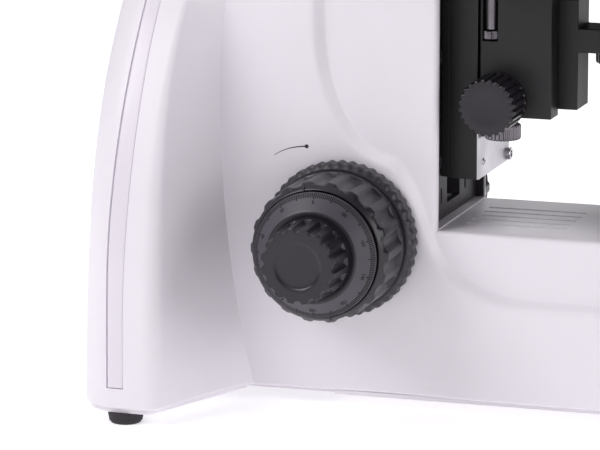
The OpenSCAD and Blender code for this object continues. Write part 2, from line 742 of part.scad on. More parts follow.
placed() eyetube_right();
placed() eyepiece_left();
placed() eyepiece_right();
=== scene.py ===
"""Looks of the upright laboratory microscope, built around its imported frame.

Shapes are worked out in millimetres about the optical axis (x = 0, y = 0), with +Z up and the
user on the -Y side, and to_row() turns them into the row frame's metres.
"""

import json
import math

import bmesh
import bpy
import numpy as np
from mathutils import Matrix, Vector
from mathutils.geometry import delaunay_2d_cdt


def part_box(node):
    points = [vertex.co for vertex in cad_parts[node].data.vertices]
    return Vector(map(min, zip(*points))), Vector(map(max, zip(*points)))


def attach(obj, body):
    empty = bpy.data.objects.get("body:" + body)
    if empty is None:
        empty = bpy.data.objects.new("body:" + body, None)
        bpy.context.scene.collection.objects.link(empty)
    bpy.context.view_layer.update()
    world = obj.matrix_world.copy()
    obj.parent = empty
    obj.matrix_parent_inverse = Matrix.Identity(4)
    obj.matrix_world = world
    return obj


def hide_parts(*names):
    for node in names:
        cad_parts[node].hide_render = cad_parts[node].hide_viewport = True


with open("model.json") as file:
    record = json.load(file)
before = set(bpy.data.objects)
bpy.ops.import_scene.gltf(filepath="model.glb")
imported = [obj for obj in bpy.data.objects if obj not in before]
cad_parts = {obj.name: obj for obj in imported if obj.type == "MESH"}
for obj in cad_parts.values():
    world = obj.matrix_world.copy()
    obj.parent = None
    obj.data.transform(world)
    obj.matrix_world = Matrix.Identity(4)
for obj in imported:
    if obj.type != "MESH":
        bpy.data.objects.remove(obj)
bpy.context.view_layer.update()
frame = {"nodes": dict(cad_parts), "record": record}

RECORD = frame["record"]
BODY_OF = {node: body for body, nodes in RECORD["behaviour"]["bodies"].items() for node in nodes}
SLOT_OF = {part["node"]: part["material_slot"] for part in RECORD["subparts"]}

MM = 0.001
WELD = 2e-7
lens_low, lens_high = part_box("field_lens")
AXIS_Y = (lens_low.y + lens_high.y) / 2

# Driving sizes, in millimetres
BODY_Z = 7.0
DECK_Z = 77.5
ARM_UNDER_Z = 288.0
ARM_TOP_Z = 330.0
ARM_FRONT_Y = 95.5
SIDE_X = 38.0
RAISED_X = 42.0
WING_X = 97.0
WING_TOP_Z = 186.0
WING_CORNER_Y = 198.0
REAR_R = 18.0
SLOTS_FRONT_Y = 46.0
SLOTS_REAR_Y = 88.5
BASE_CENTRE_Y = -33.0
NOSE_CENTRE_Y = -8.0
THROAT_R = 26.0
TOP_R = 36.0
KNOB_Y = 134.0
KNOB_Z = 74.0
PANEL_Y = 99.3
TURRET_TILT = math.radians(14)
APEX_Z = 254.2 + 23 / math.sin(TURRET_TILT)
CONE_LEN = 23 / math.sin(TURRET_TILT)
TUBE_TILT = math.radians(30)
RIGHT_TUBE_TURN, LEFT_TUBE_TURN = -31, 211  # degrees about the pivot between the tubes
TUBE_OFFSET = 37.5
PIVOT = (0.0, -40.0, 367.0)


def to_row(points):
    """Millimetres about the optical axis to metres in the row frame."""
    out = np.array(points, float).reshape(-1, 3) * MM
    out[:, 1] += AXIS_Y
    return out


# ---------------------------------------------------------------- materials


def tone(r, g, b):
    """A display colour from 0 to 255 as a linear one."""
    return tuple(((c / 255 + 0.055) / 1.055) ** 2.4 if c > 10 else c / 255 / 12.92 for c in (r, g, b))


class Nodes:
    """Builds one material's node tree."""

    def __init__(self, name):
        self.material = bpy.data.materials.new(name)
        self.material.use_nodes = True
        self.tree = self.material.node_tree
        self.shader = self.tree.nodes["Principled BSDF"]
        self.coords = self.new("TexCoord").outputs["Object"]

    def link(self, a, b):
        self.tree.links.new(a, b)

    def new(self, kind, values=()):
        """A new node with some of its inputs set."""
        node = self.tree.nodes.new(f"ShaderNode{kind}")
        for name, value in dict(values).items():
            node.inputs[name].default_value = value
        return node

    def set(self, **values):
        """Sets inputs of the shader, their names written with _ for a space."""
        for name, value in values.items():
            self.shader.inputs[name.replace("_", " ")].default_value = value

    def stretched(self, x, y, z):
        mapping = self.new("Mapping", {"Scale": (x, y, z)})
        self.link(self.coords, mapping.inputs["Vector"])
        return mapping.outputs["Vector"]

    def noise(self, scale, detail=2.0, vector=None):
        node = self.new("TexNoise", {"Scale": scale, "Detail": detail})
        self.link(vector or self.coords, node.inputs["Vector"])
        return node.outputs["Fac"]

    def colour(self, value, first, second, start=0.35, end=0.65):
        """Base colour running from first to second as the value goes from start to end."""
        ramp = self.new("ValToRGB")
        for stop, at, shown in zip(ramp.color_ramp.elements, (start, end), (first, second)):
            stop.position = at
            stop.color = (*shown, 1)
        self.link(value, ramp.inputs["Fac"])
        self.link(ramp.outputs["Color"], self.shader.inputs["Base Color"])

    def gloss(self, value, low, high):
        """Roughness between low and high, after a noise value."""
        limits = {"From Min": 0.3, "From Max": 0.7, "To Min": low, "To Max": high}
        node = self.new("MapRange", limits)
        self.link(value, node.inputs["Value"])
        self.link(node.outputs["Result"], self.shader.inputs["Roughness"])

    def bump(self, value, depth, strength=1.0):
        node = self.new("Bump", {"Distance": depth, "Strength": strength})
        self.link(value, node.inputs["Height"])
        self.link(node.outputs["Normal"], self.shader.inputs["Normal"])


def shade(colour, factor):
    return tuple(c * factor for c in colour)


def moulded(name, colour, roughness, grain, depth, vary=0.06):
    """Paint or moulded plastic: slow colour drift, fine grain in the gloss and in the surface."""
    n = Nodes(name)
    n.colour(n.noise(38, 3), shade(colour, 1 - vary), shade(colour, 1 + vary))
    fine = n.noise(grain, 2)
    n.gloss(fine, roughness - 0.05, roughness + 0.05)
    n.bump(fine, depth)
    return n.material


def machined(name, colour, roughness, lines, vary=0.1):
    """Bare metal with fine tool lines and a slow drift of gloss."""
    n = Nodes(name)
    streaks = n.noise(lines, 4, n.stretched(1.0, 1.0, 14.0))
    n.colour(streaks, shade(colour, 1 - vary), shade(colour, 1 + vary))
    n.gloss(n.noise(60, 2), roughness - 0.08, roughness + 0.08)
    n.set(Metallic=1.0)
    n.bump(streaks, 2e-6, 0.5)
    return n.material


def clear_glass(name, tint):
    n = Nodes(name)
    n.set(Base_Color=(*tint, 1), Transmission_Weight=1.0, IOR=1.52)
    n.gloss(n.noise(90, 2), 0.01, 0.05)
    return n.material


def circuit(name):
    """A green board with a faint pattern of tracks."""
    n = Nodes(name)
    wave = n.new("TexWave", {"Scale": 240, "Distortion": 3.0})
    n.link(n.coords, wave.inputs["Vector"])
    n.colour(wave.outputs["Fac"], tone(20, 96, 58), tone(34, 128, 78), 0.45, 0.55)
    n.set(Roughness=0.4)
    return n.material


MOULDED = {
    "white_paint": ((232, 227, 235), 0.42, 900, 6e-6, 0.008),
    "white_trim": ((226, 220, 230), 0.34, 700, 3e-6, 0.01),
    "dark_plastic": ((40, 37, 43), 0.42, 1400, 1.2e-5, 0.08),
    "knob_plastic": ((30, 26, 34), 0.34, 1500, 3e-6, 0.06),
    "drum_plastic": ((70, 66, 75), 0.48, 1500, 4e-6, 0.06),
    # painted shade: near-black for the drum's ticks and figures, which are moulded in the drum's own plastic
    # and look dark only from the shade in their engraving
    "drum_engraving_shade": ((9, 8, 10), 0.75, 1500, 4e-6, 0.06),
    "ring_plastic": ((44, 40, 47), 0.42, 1500, 1.2e-5, 0.06),
    "black_metal": ((20, 19, 22), 0.42, 1800, 8e-6, 0.1),
    "black_sheet": ((48, 44, 51), 0.5, 1600, 8e-6, 0.1),
    "rubber": ((44, 40, 46), 0.75, 1300, 2.5e-5, 0.1),
    "lamp_holder": ((218, 210, 196), 0.6, 900, 2e-5, 0.06),
    "mark_white": ((206, 204, 208), 0.5, 1200, 4e-6, 0.02),
    # black print marks; the same black is also painted shade for the hex sockets of the screws
    "black_marks_and_socket_shade": ((34, 32, 38), 0.5, 1200, 4e-6, 0.05),
    "band_red": ((188, 34, 36), 0.4, 1200, 4e-6, 0.03),
    "band_yellow": ((232, 190, 40), 0.4, 1200, 4e-6, 0.03),
    "band_blue": ((70, 150, 206), 0.4, 1200, 4e-6, 0.03),
    "band_ivory": ((236, 232, 220), 0.4, 1200, 4e-6, 0.03),
}
MACHINED = {
    "steel": ((196, 193, 198), 0.3, 320),
    "dark_steel": ((134, 129, 136), 0.38, 320),
    "nickel": ((214, 211, 218), 0.2, 420, 0.05),
    "satin_chrome": ((218, 216, 222), 0.46, 520, 0.03),
    "brass": ((206, 176, 104), 0.32, 300),
    "mirror": ((240, 242, 245), 0.12, 80, 0.02),
}
LOOKS = {name: moulded(name, tone(*colour), *rest) for name, (colour, *rest) in MOULDED.items()}
LOOKS |= {name: machined(name, tone(*colour), *rest) for name, (colour, *rest) in MACHINED.items()}
LOOKS |= {"glass": clear_glass("glass", (0.9, 0.96, 1.0)), "board": circuit("board")}


# ---------------------------------------------------------------- mesh helpers


class Shape:
    """Vertices and faces in millimetres, with a material number for each face."""

    def __init__(self):
        self.points, self.faces, self.kinds = [], [], []

    def add(self, made, kind=0, place=None):
        points, faces = made
        points = np.asarray(points, float).reshape(-1, 3)
        if place is not None:
            m = np.array(place)
            points = points @ m[:3, :3].T + m[:3, 3]
        start = len(self.points)
        self.points.extend(points.tolist())
        self.faces.extend([[start + i for i in f] for f in faces])
        self.kinds.extend([kind] * len(faces))
        return self

    def mirrored(self):
        """The same shape on the other side of x = 0."""
        out = Shape()
        out.points = [[-p[0], p[1], p[2]] for p in self.points]
        out.faces = [f[::-1] for f in self.faces]
        out.kinds = list(self.kinds)
        return out


def in_scene(name, data):
    """An object for a mesh, a light or a camera, put into the scene."""
    thing = bpy.data.objects.new(name, data)
    bpy.context.scene.collection.objects.link(thing)
    return thing


def even_normals(piece):
    """Keeps flat faces flat in the light beside their rounded edges."""
    weighted = piece.modifiers.new("normals", "WEIGHTED_NORMAL")
    weighted.keep_sharp = True


def make(name, shape, node, looks=None, replaces=None, sharp=32.0, flat=True):
    """Turns a shape into a piece that rides with a CAD node and takes its slot. It stands in
    for that node unless replaces names others, or none."""
    data = bpy.data.meshes.new(name)
    data.from_pydata(to_row(shape.points).tolist(), [], shape.faces)
    data.polygons.foreach_set("material_index", shape.kinds)
    bm = bmesh.new()
    bm.from_mesh(data)
    bmesh.ops.remove_doubles(bm, verts=bm.verts, dist=WELD)
    bmesh.ops.dissolve_degenerate(bm, dist=WELD, edges=bm.edges)
    bmesh.ops.recalc_face_normals(bm, faces=bm.faces)
    bm.to_mesh(data)
    bm.free()
    for look in looks or [SLOT_OF[node]]:
        data.materials.append(LOOKS[look])
    data.shade_smooth()
    data.set_sharp_from_angle(angle=math.radians(sharp))
    piece = in_scene(name, data)
    if flat:
        even_normals(piece)
    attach(piece, BODY_OF[node])
    if replaces is None:
        replaces = [node]
    if replaces:
        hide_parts(*replaces)


def place_at(x, y, z, *turns):
    """A move to (x, y, z) after the turns, each an (axis, degrees) pair, the last one first."""
    m = Matrix.Translation((x, y, z))
    for axis, angle in turns:
        m = m @ Matrix.Rotation(math.radians(angle), 4, axis)
    return m


def eased(points, radius, steps=4, closed=False):
    """Rounds an outline's corners. A point may carry its own radius as a third number."""
    out = []
    count = len(points)
    for i, p in enumerate(points):
        here = np.array(p[:2], float)
        r = p[2] if len(p) > 2 else radius
        if r <= 0 or (not closed and i in (0, count - 1)):
            out.append(tuple(here))
            continue
        before = np.array(points[i - 1][:2], float) - here
        after = np.array(points[(i + 1) % count][:2], float) - here
        a, b = np.linalg.norm(before), np.linalg.norm(after)
        if a < 1e-9 or b < 1e-9:
            out.append(tuple(here))
            continue
        before, after = before / a, after / b
        half = math.acos(max(-1.0, min(1.0, float(before @ after)))) / 2
        if half > math.pi / 2 - 0.02:
            out.append(tuple(here))
            continue
        cut = min(r / math.tan(half), 0.45 * a, 0.45 * b)
        for k in range(steps + 1):
            t = k / steps
            start, end = here + before * cut, here + after * cut
            q = (1 - t) ** 2 * start + 2 * t * (1 - t) * here + t * t * end
            out.append(tuple(q))
    return out


def grid(rows, cols):
    """Four-sided faces between rows of points, each row joined round from its end to its start."""
    return [
        [r * cols + c, r * cols + (c + 1) % cols, (r + 1) * cols + (c + 1) % cols, (r + 1) * cols + c]
        for r in range(rows - 1)
        for c in range(cols)
    ]


def lathe(profile, sides=96, dent=None):
    """A turned shape about +Z from (radius, height) points. dent(turn, height, radius) is how
    far inward the surface goes."""
    rings = np.array(profile, float)
    turn = np.arange(sides) * 2 * math.pi / sides
    r = rings[:, :1] * np.ones(sides)
    if dent is not None:
        r = r - dent(turn[None, :], rings[:, 1:2], rings[:, :1])
    h = rings[:, 1:2] * np.ones(sides)
    points = np.stack([r * np.cos(turn), r * np.sin(turn), h], -1).reshape(-1, 3)
    return points, grid(len(rings), sides)


def runs(start, end, step):
    """Evenly spaced heights from start to end."""
    count = max(1, round(abs(end - start) / step))
    return [start + (end - start) * i / count for i in range(count + 1)]


def inside(points, loops):
    """Which points lie inside the loops, a loop within another being a hole."""
    x, y = points[:, 0][:, None], points[:, 1][:, None]
    hits = np.zeros(len(points), int)
    for loop in loops:
        a = np.array([p[:2] for p in loop], float)
        b = np.roll(a, -1, 0)
        crosses = (a[:, 1] > y) != (b[:, 1] > y)
        rise = np.where(a[:, 1] == b[:, 1], 1.0, b[:, 1] - a[:, 1])
        at = a[:, 0] + (y - a[:, 1]) * (b[:, 0] - a[:, 0]) / rise
        hits += (crosses & (x < at)).sum(1)
    return hits % 2 == 1


def triangles(loops, lines=(), extra=()):
    """Fills closed loops with triangles that follow the lines and take in the extra points."""
    points, edges = [], []
    for loop, closed in [(l, True) for l in loops] + [(l, False) for l in lines]:
        start = len(points)
        points += [Vector(p[:2]) for p in loop]
        last = len(points) - start
        edges += [(start + i, start + (i + 1) % last) for i in range(last if closed else last - 1)]
    points += [Vector(p[:2]) for p in extra]
    found = delaunay_2d_cdt(points, edges, [], 0, 1e-4, False)
    flat = np.array([v[:] for v in found[0]], float)
    faces = np.array([f[:] for f in found[2]], int)
    kept = inside(flat[faces].mean(1), loops)
    return flat, faces[kept].tolist()


def inset_loop(loop, amount):
    """A closed loop moved towards its own inside (to the left of travel) by a small amount."""
    p = np.array([q[:2] for q in loop], float)
    before, after = p - np.roll(p, 1, 0), np.roll(p, -1, 0) - p
    before /= np.maximum(np.linalg.norm(before, axis=1, keepdims=True), 1e-9)
    after /= np.maximum(np.linalg.norm(after, axis=1, keepdims=True), 1e-9)
    n = np.stack([-(before[:, 1] + after[:, 1]), before[:, 0] + after[:, 0]], -1)
    n /= np.maximum((n**2).sum(1, keepdims=True) / 2, 0.3)
    return p + n * amount


def turned_left(loop, hole=False):
    """The loop with its solid on the left of travel."""
    p = np.array([q[:2] for q in loop], float)
    q = np.roll(p, -1, 0)
    area = (p[:, 0] * q[:, 1] - q[:, 0] * p[:, 1]).sum()
    return p[::-1] if (area < 0) != hole else p


def plate(outline, z0, z1, edge=0.4, holes=()):
    """A flat part with eased edges, from a closed outline, with holes."""
    loops = [turned_left(outline)] + [turned_left(h, True) for h in holes]
    edge = min(edge, (z1 - z0) * 0.49)
    count = 2 if edge < 1 else 5
    angles = [math.pi / 2 * k / count for k in range(count + 1)]
    steps = [(edge * (1 - math.sin(a)), edge * (1 - math.cos(a))) for a in angles]
    rings = [(i, z0 + h) for i, h in steps] + [(i, z1 - h) for i, h in steps[::-1]]
    shape = Shape()
    caps = []
    for loop in loops:
        count = len(loop)
        rows = [inset_loop(loop, i) for i, _ in rings]
        points = np.concatenate([np.c_[r, np.full(count, z)] for r, (_, z) in zip(rows, rings)])
        shape.add((points, grid(len(rings), count)))
        caps.append(rows[0])
    flat, faces = triangles(caps)
    shape.add((np.c_[flat, np.full(len(flat), z0)], [f[::-1] for f in faces]))
    shape.add((np.c_[flat, np.full(len(flat), z1)], faces))
    return np.array(shape.points), shape.faces


def rectangle(x0, x1, y0, y1, radius=1.0, steps=4):
    return eased([(x0, y0), (x1, y0), (x1, y1), (x0, y1)], radius, steps, closed=True)


def arc(x, y, r, start, end, step):
    """Points round an arc about (x, y), the angles in radians."""
    return [(x + r * math.cos(a), y + r * math.sin(a)) for a in runs(start, end, step)]


def ring_points(x, y, r, count=48):
    return [
        (x + r * math.cos(2 * math.pi * i / count), y + r * math.sin(2 * math.pi * i / count))
        for i in range(count)
    ]


def softened(name, node, looks=None, width=0.4, angle=30):
    """A copy of a CAD node's mesh with its faces cleaned up and its edges rounded."""
    source = frame["nodes"][node]
    data = source.data.copy()
    data.name = name
    bm = bmesh.new()
    bm.from_mesh(data)
    bmesh.ops.remove_doubles(bm, verts=bm.verts, dist=2e-6)
    bmesh.ops.dissolve_limit(bm, angle_limit=math.radians(0.6), verts=bm.verts, edges=bm.edges)
    bm.to_mesh(data)
    bm.free()
    data.materials.clear()
    for look in looks or [SLOT_OF[node]]:
        data.materials.append(LOOKS[look])
    data.polygons.foreach_set("material_index", [0] * len(data.polygons))
    piece = in_scene(name, data)
    bevel = piece.modifiers.new("edges", "BEVEL")
    bevel.width = width * MM
    bevel.segments = 2
    bevel.limit_method = "ANGLE"
    bevel.angle_limit = math.radians(angle)
    bevel.use_clamp_overlap = True
    shown = piece.evaluated_get(bpy.context.evaluated_depsgraph_get())
    final = bpy.data.meshes.new_from_object(shown)
    piece.modifiers.clear()
    piece.data = final
    final.shade_smooth()
    final.set_sharp_from_angle(angle=math.radians(32))
    even_normals(piece)
    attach(piece, BODY_OF[node])
    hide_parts(node)


# ---------------------------------------------------------------- the stand


def ease(t):
    t = np.clip(t, 0, 1)
    return t * t * (3 - 2 * t)


def rear_y(z):
    """Rear face: leans forward, then runs over into the top."""
    lean = 233.3 - 7.3 * (np.clip(z, 0, 294) / 294) ** 1.2
    over = np.clip((z - (ARM_TOP_Z - TOP_R)) / TOP_R, 0, 1)
    return lean - TOP_R * (1 - np.sqrt(np.maximum(1 - over**2, 0)))


def wing_half(z):
    return RAISED_X + (WING_X - RAISED_X) * (1 - np.clip(z / WING_TOP_Z, 0, 1) ** 3.7)


def crease_y(z):
    """Where the side face meets the wing's hollow front."""
    low = 188 - 14 * (np.clip(128 - z, 0, 121) / 121) ** 2
    return low - 5 * (np.clip(z - 128, 0, 60) / 60) ** 2


NOSE_UNIT = 40.0  # plan distance along the rounded ends, per radian
BASE_U = BASE_CENTRE_Y - NOSE_UNIT * math.pi / 2
NOSE_U = NOSE_CENTRE_Y - NOSE_UNIT * math.pi / 2
U_SIDE, U_COVE, U_CORNER, U_FACE, U_STRIP, U_STRIP_END, U_BEND, U_REAR, U_END = (
    150.0, 185.0, 225.0, 235.0, 245.0, 252.0, 265.0, 277.0, 350.0,
)


def plan(u, z):
    """Point and outward normal on the stand's raised plan curve, at distance u along it."""
    centre = np.where(z < 180, BASE_CENTRE_Y, NOSE_CENTRE_Y)
    turn = np.clip((centre - u) / NOSE_UNIT, 0, math.pi / 2)
    back = rear_y(z)
    rear_r = REAR_R - 4 * ease((z - 150) / 100)
    wide = wing_half(z)
    corner_y = np.minimum(WING_CORNER_Y, back - rear_r - 8)
    start_y = np.minimum(crease_y(z), corner_y - 8)
    along = u + 0 * z
    stretched = U_SIDE + (along - U_SIDE) * (start_y - U_SIDE) / (U_COVE - U_SIDE)
    y = np.where(along > U_SIDE, stretched, along)
    y = np.where(along < centre, centre - RAISED_X * np.sin(turn), y)
    x, nx, ny = RAISED_X * np.cos(turn), np.cos(turn), -np.sin(turn)

    dx, dy = wide - RAISED_X, corner_y - start_y
    length = np.hypot(dx, dy)
    dx, dy = dx / length, dy / length
    bend = np.arctan2(dx, dy)
    front_r = 8 - 5.5 * ease((z - 60) / 110)
    cut = np.minimum(front_r * np.tan(bend / 2), 0.4 * length)
    radius = cut / np.maximum(np.tan(bend / 2), 1e-6)
    end_x, end_y = wide - dx * cut, corner_y - dy * cut
    sag = 0.045 * (length - cut) * np.minimum(1, (wide - RAISED_X) / 12)
    t = np.clip((along - U_COVE) / (U_CORNER - U_COVE), 0, 1)
    mid_x, mid_y = (RAISED_X + end_x) / 2 - dy * 2 * sag, (start_y + end_y) / 2 + dx * 2 * sag
    cove_x = (1 - t) ** 2 * RAISED_X + 2 * t * (1 - t) * mid_x + t * t * end_x
    cove_y = (1 - t) ** 2 * start_y + 2 * t * (1 - t) * mid_y + t * t * end_y

    t = np.clip((along - U_CORNER) / (U_FACE - U_CORNER), 0, 1)
    angle = -bend * (1 - t)
    corner_x = wide - radius + radius * np.cos(angle)
    turn_y = corner_y + cut + radius * np.sin(angle)

    face_y = corner_y + cut
    bend_y = back - rear_r * (1 - math.sqrt(0.5))
    high = ease((z - 176) / 40)
    strip_front = (1 - high) * (211.6 - 3.2 * ease((z - 40) / 110))
    strip_front = strip_front + high * (face_y + 0.35 * (bend_y - face_y))
    strip_rear = (1 - high) * (219.1 - 3.7 * ease((z - 60) / 105))
    strip_rear = strip_rear + high * (face_y + 0.62 * (bend_y - face_y))
    out_y = face_y + (strip_front - face_y) * np.clip((along - U_FACE) / (U_STRIP - U_FACE), 0, 1)
    out_y += (strip_rear - strip_front) * np.clip((along - U_STRIP) / (U_STRIP_END - U_STRIP), 0, 1)
    out_y += (bend_y - strip_rear) * np.clip((along - U_STRIP_END) / (U_BEND - U_STRIP_END), 0, 1)
    over = np.clip((out_y - (back - rear_r)) / rear_r, 0, 1)
    out_x = wide - rear_r * (1 - np.sqrt(1 - over**2))

    angle = math.pi / 4 * (1 + np.clip((along - U_BEND) / (U_REAR - U_BEND), 0, 1))
    bend_x = wide - rear_r + rear_r * np.cos(angle)
    round_y = back - rear_r + rear_r * np.sin(angle)
    rear_x = (wide - rear_r) * (1 - np.clip((along - U_REAR) / (U_END - U_REAR), 0, 1))

    zone = [along > U_REAR, along > U_BEND, along > U_FACE, along > U_CORNER, along > U_COVE]
    x = np.select(zone, [rear_x, bend_x, out_x, corner_x, cove_x], x)
    y = np.select(zone, [back + 0 * along, round_y, out_y, turn_y, cove_y], y)
    none = 0 * along
    nx = np.select(zone, [none, np.cos(angle), np.sqrt(1 - over**2), np.cos(-bend * (1 - t)), dy + none], nx)
    ny = np.select(zone, [none + 1, np.sin(angle), over, np.sin(-bend * (1 - t)), -dx + none], ny)
    return x, y, nx, ny


def bezier(p, count):
    t = np.linspace(0, 1, count)[:, None]
    p = np.array(p, float)
    return (1 - t) ** 3 * p[0] + 3 * (1 - t) ** 2 * t * p[1] + 3 * (1 - t) * t * t * p[2] + t**3 * p[3]


def contour():
    """The S-shaped step between the recessed and the raised side, as (along, height)."""
    rows = [
        np.stack([np.linspace(BASE_U, 50, 30), np.full(30, 49.5)], -1),
        bezier([(57, 49.5), (76, 50), (92, 59), (97.5, 74)], 22),
        bezier([(97.5, 74), (103, 89), (109, 105), (116, 106.5)], 22)[1:],
        bezier([(116, 106.5), (135, 110), (146, 135), (146, 165)], 26)[1:],
        np.stack([np.full(14, 146.0), np.linspace(172, 256, 14)], -1),
        bezier([(146, 262), (146, 292), (126, 308), (104, 308)], 26),
        np.stack([np.linspace(98, NOSE_U, 26), np.full(26, 308.0)], -1),
    ]
    return np.concatenate(rows)


CONTOUR = contour()
STEP_AT = [-2.5, -1.9, -1.4, -0.8, 0.0, 0.8, 1.5, 2.2, 3.1, 4.3]
STEP_RISE = [0.0, 0.12, 0.5, 1.15, 2.1, 3.0, 3.5, 3.8, 3.96, 4.0]


def contour_distance(u, z):
    """Distance from the step, positive on the raised side."""
    a, b = CONTOUR[:-1], CONTOUR[1:]
    d = b - a
    size = (d**2).sum(1)
    best = np.full(len(u), 1e9)
    sign = np.ones(len(u))
    for k in range(len(a)):
        px, pz = u - a[k, 0], z - a[k, 1]
        t = np.clip((px * d[k, 0] + pz * d[k, 1]) / size[k], 0, 1)
        far = np.hypot(px - t * d[k, 0], pz - t * d[k, 1])
        side = np.where(d[k, 0] * pz - d[k, 1] * px < 0, 1.0, -1.0)
        near = far < best
        best, sign = np.where(near, far, best), np.where(near, side, sign)
    return best * sign


def fillet(distance, radius):
    inner = np.clip(radius - distance, 0, radius)
    return radius - np.sqrt(np.maximum(radius**2 - inner**2, 0))


EDGE_R = 2.2
TOP_EDGE_R = 6.0
BOTTOM_EDGE_R = 1.6


def edge_distance(u, z):
    """Distance from the deck, the arm's front face, the throat and the arm's underside."""
    corner = np.hypot(np.maximum(u - ARM_FRONT_Y, 0), np.maximum(DECK_Z - z, 0))
    low = np.where(u < ARM_FRONT_Y, np.abs(DECK_Z - z), corner)
    centre_u, centre_z = ARM_FRONT_Y - THROAT_R, ARM_UNDER_Z - THROAT_R
    throat = np.hypot(u - centre_u, z - centre_z) - THROAT_R
    high = np.where(u < centre_u, z - ARM_UNDER_Z, throat)
    high = np.where(z < centre_z, u - ARM_FRONT_Y, high)
    return np.maximum(np.where(z <= DECK_Z + 1e-6, low, high), 0)


def stand_surface(u, z, sink=0.0):
    """Points on the right-hand side of the stand's skin, sunk along the plan normal by sink."""
    u, z = np.asarray(u, float), np.asarray(z, float)
    x, y, nx, ny = plan(u, z)
    inset = (RAISED_X - SIDE_X) - np.interp(contour_distance(u, z), STEP_AT, STEP_RISE)
    low = np.clip((49 - z) / 42, 0, 1) ** 1.6
    draft = 2.6 + 2.2 * np.exp(-(((u - 118) / 34) ** 2))
    inset = inset + low * draft * (1 - ease((u - 175) / 40))
    inset = inset + fillet(edge_distance(u, z), EDGE_R)
    inset = inset + fillet(ARM_TOP_Z - z, TOP_EDGE_R) + fillet(z - BODY_Z, BOTTOM_EDGE_R)
    inset = inset + sink
    return np.stack([np.maximum(x - nx * inset, 0), y - ny * inset, z + 0 * u], -1)


GROOVE_LOW_Z, GROOVE_HIGH_Z, GROOVE_DEPTH, GROOVE_WALL = 15.6, 175.0, 1.0, 0.12


def groove(u, z):
    """How deep the trim strip's groove is."""
    across = np.clip(np.minimum(u - U_STRIP, U_STRIP_END - u) / GROOVE_WALL, 0, 1)
    up = np.clip(np.minimum(z - GROOVE_LOW_Z, GROOVE_HIGH_Z - z) / GROOVE_WALL, 0, 1)
    return GROOVE_DEPTH * across * up


POCKET_X, POCKET_LOW_Z, POCKET_HIGH_Z = 35.2, 78.0, 236.0  # the focus guide's pocket in the arm


def edge_line(offset):
    """The deck, arm front, throat and underside line moved into the side face by offset."""
    centre_u, centre_z = ARM_FRONT_Y - THROAT_R, ARM_UNDER_Z - THROAT_R
    line = [(u, DECK_Z - offset) for u in runs(BASE_U, BASE_CENTRE_Y, 3)]
    before = runs(BASE_CENTRE_Y, SLOTS_FRONT_Y, 5)[1:]
    beside = runs(SLOTS_FRONT_Y, SLOTS_REAR_Y, 5)[1:]
    line += [(u, DECK_Z - offset) for u in (*before, *beside, 93.0)]
    if offset > 0:
        turns = [math.radians(-90 + 15 * k) for k in range(7)]
        line += [(ARM_FRONT_Y + offset * math.cos(a), DECK_Z + offset * math.sin(a)) for a in turns]
    else:
        line += [(ARM_FRONT_Y, DECK_Z)]
    heights = runs(POCKET_LOW_Z, POCKET_HIGH_Z, 5) + runs(POCKET_HIGH_Z, centre_z, 5)[1:]
    line += [(ARM_FRONT_Y + offset, z) for z in heights]
    line += arc(centre_u, centre_z, THROAT_R + offset, 0, math.pi / 2, math.pi / 30)[1:-1]
    line += [(u, ARM_UNDER_Z + offset) for u in runs(centre_u, NOSE_CENTRE_Y, 5)]
    line += [(u, ARM_UNDER_Z + offset) for u in runs(NOSE_CENTRE_Y, NOSE_U, 3)[1:]]
    return line


def columns():
    """Places along the plan curve where the side face has columns of points."""
    out = runs(BASE_U, BASE_CENTRE_Y, 3) + runs(BASE_CENTRE_Y, U_COVE, 5)
    out += runs(U_COVE, U_CORNER, 2) + runs(U_CORNER, U_FACE, 1.25) + runs(U_FACE, U_STRIP, 2)
    out += [U_STRIP + GROOVE_WALL] + runs(U_STRIP + 1, U_STRIP_END - 1, 1.5) + [U_STRIP_END - GROOVE_WALL]
    out += runs(U_STRIP_END, U_BEND, 1.5) + runs(U_BEND, U_REAR, 1.5) + runs(U_REAR, U_END, 6)
    return sorted(set(round(u, 4) for u in out))


HOLE_X, HOLE_LOW_Z, HOLE_HIGH_Z = 34.0, 16.0, 46.0


def rear_hole():
    """Half of the rear panel's opening, from the bottom up."""
    heights = runs(HOLE_LOW_Z, HOLE_HIGH_Z, 3)
    edge = [(U_END - (U_END - U_REAR) * HOLE_X / (float(wing_half(z)) - REAR_R), z) for z in heights]
    return [(U_END, HOLE_LOW_Z), *edge, (U_END, HOLE_HIGH_Z)]


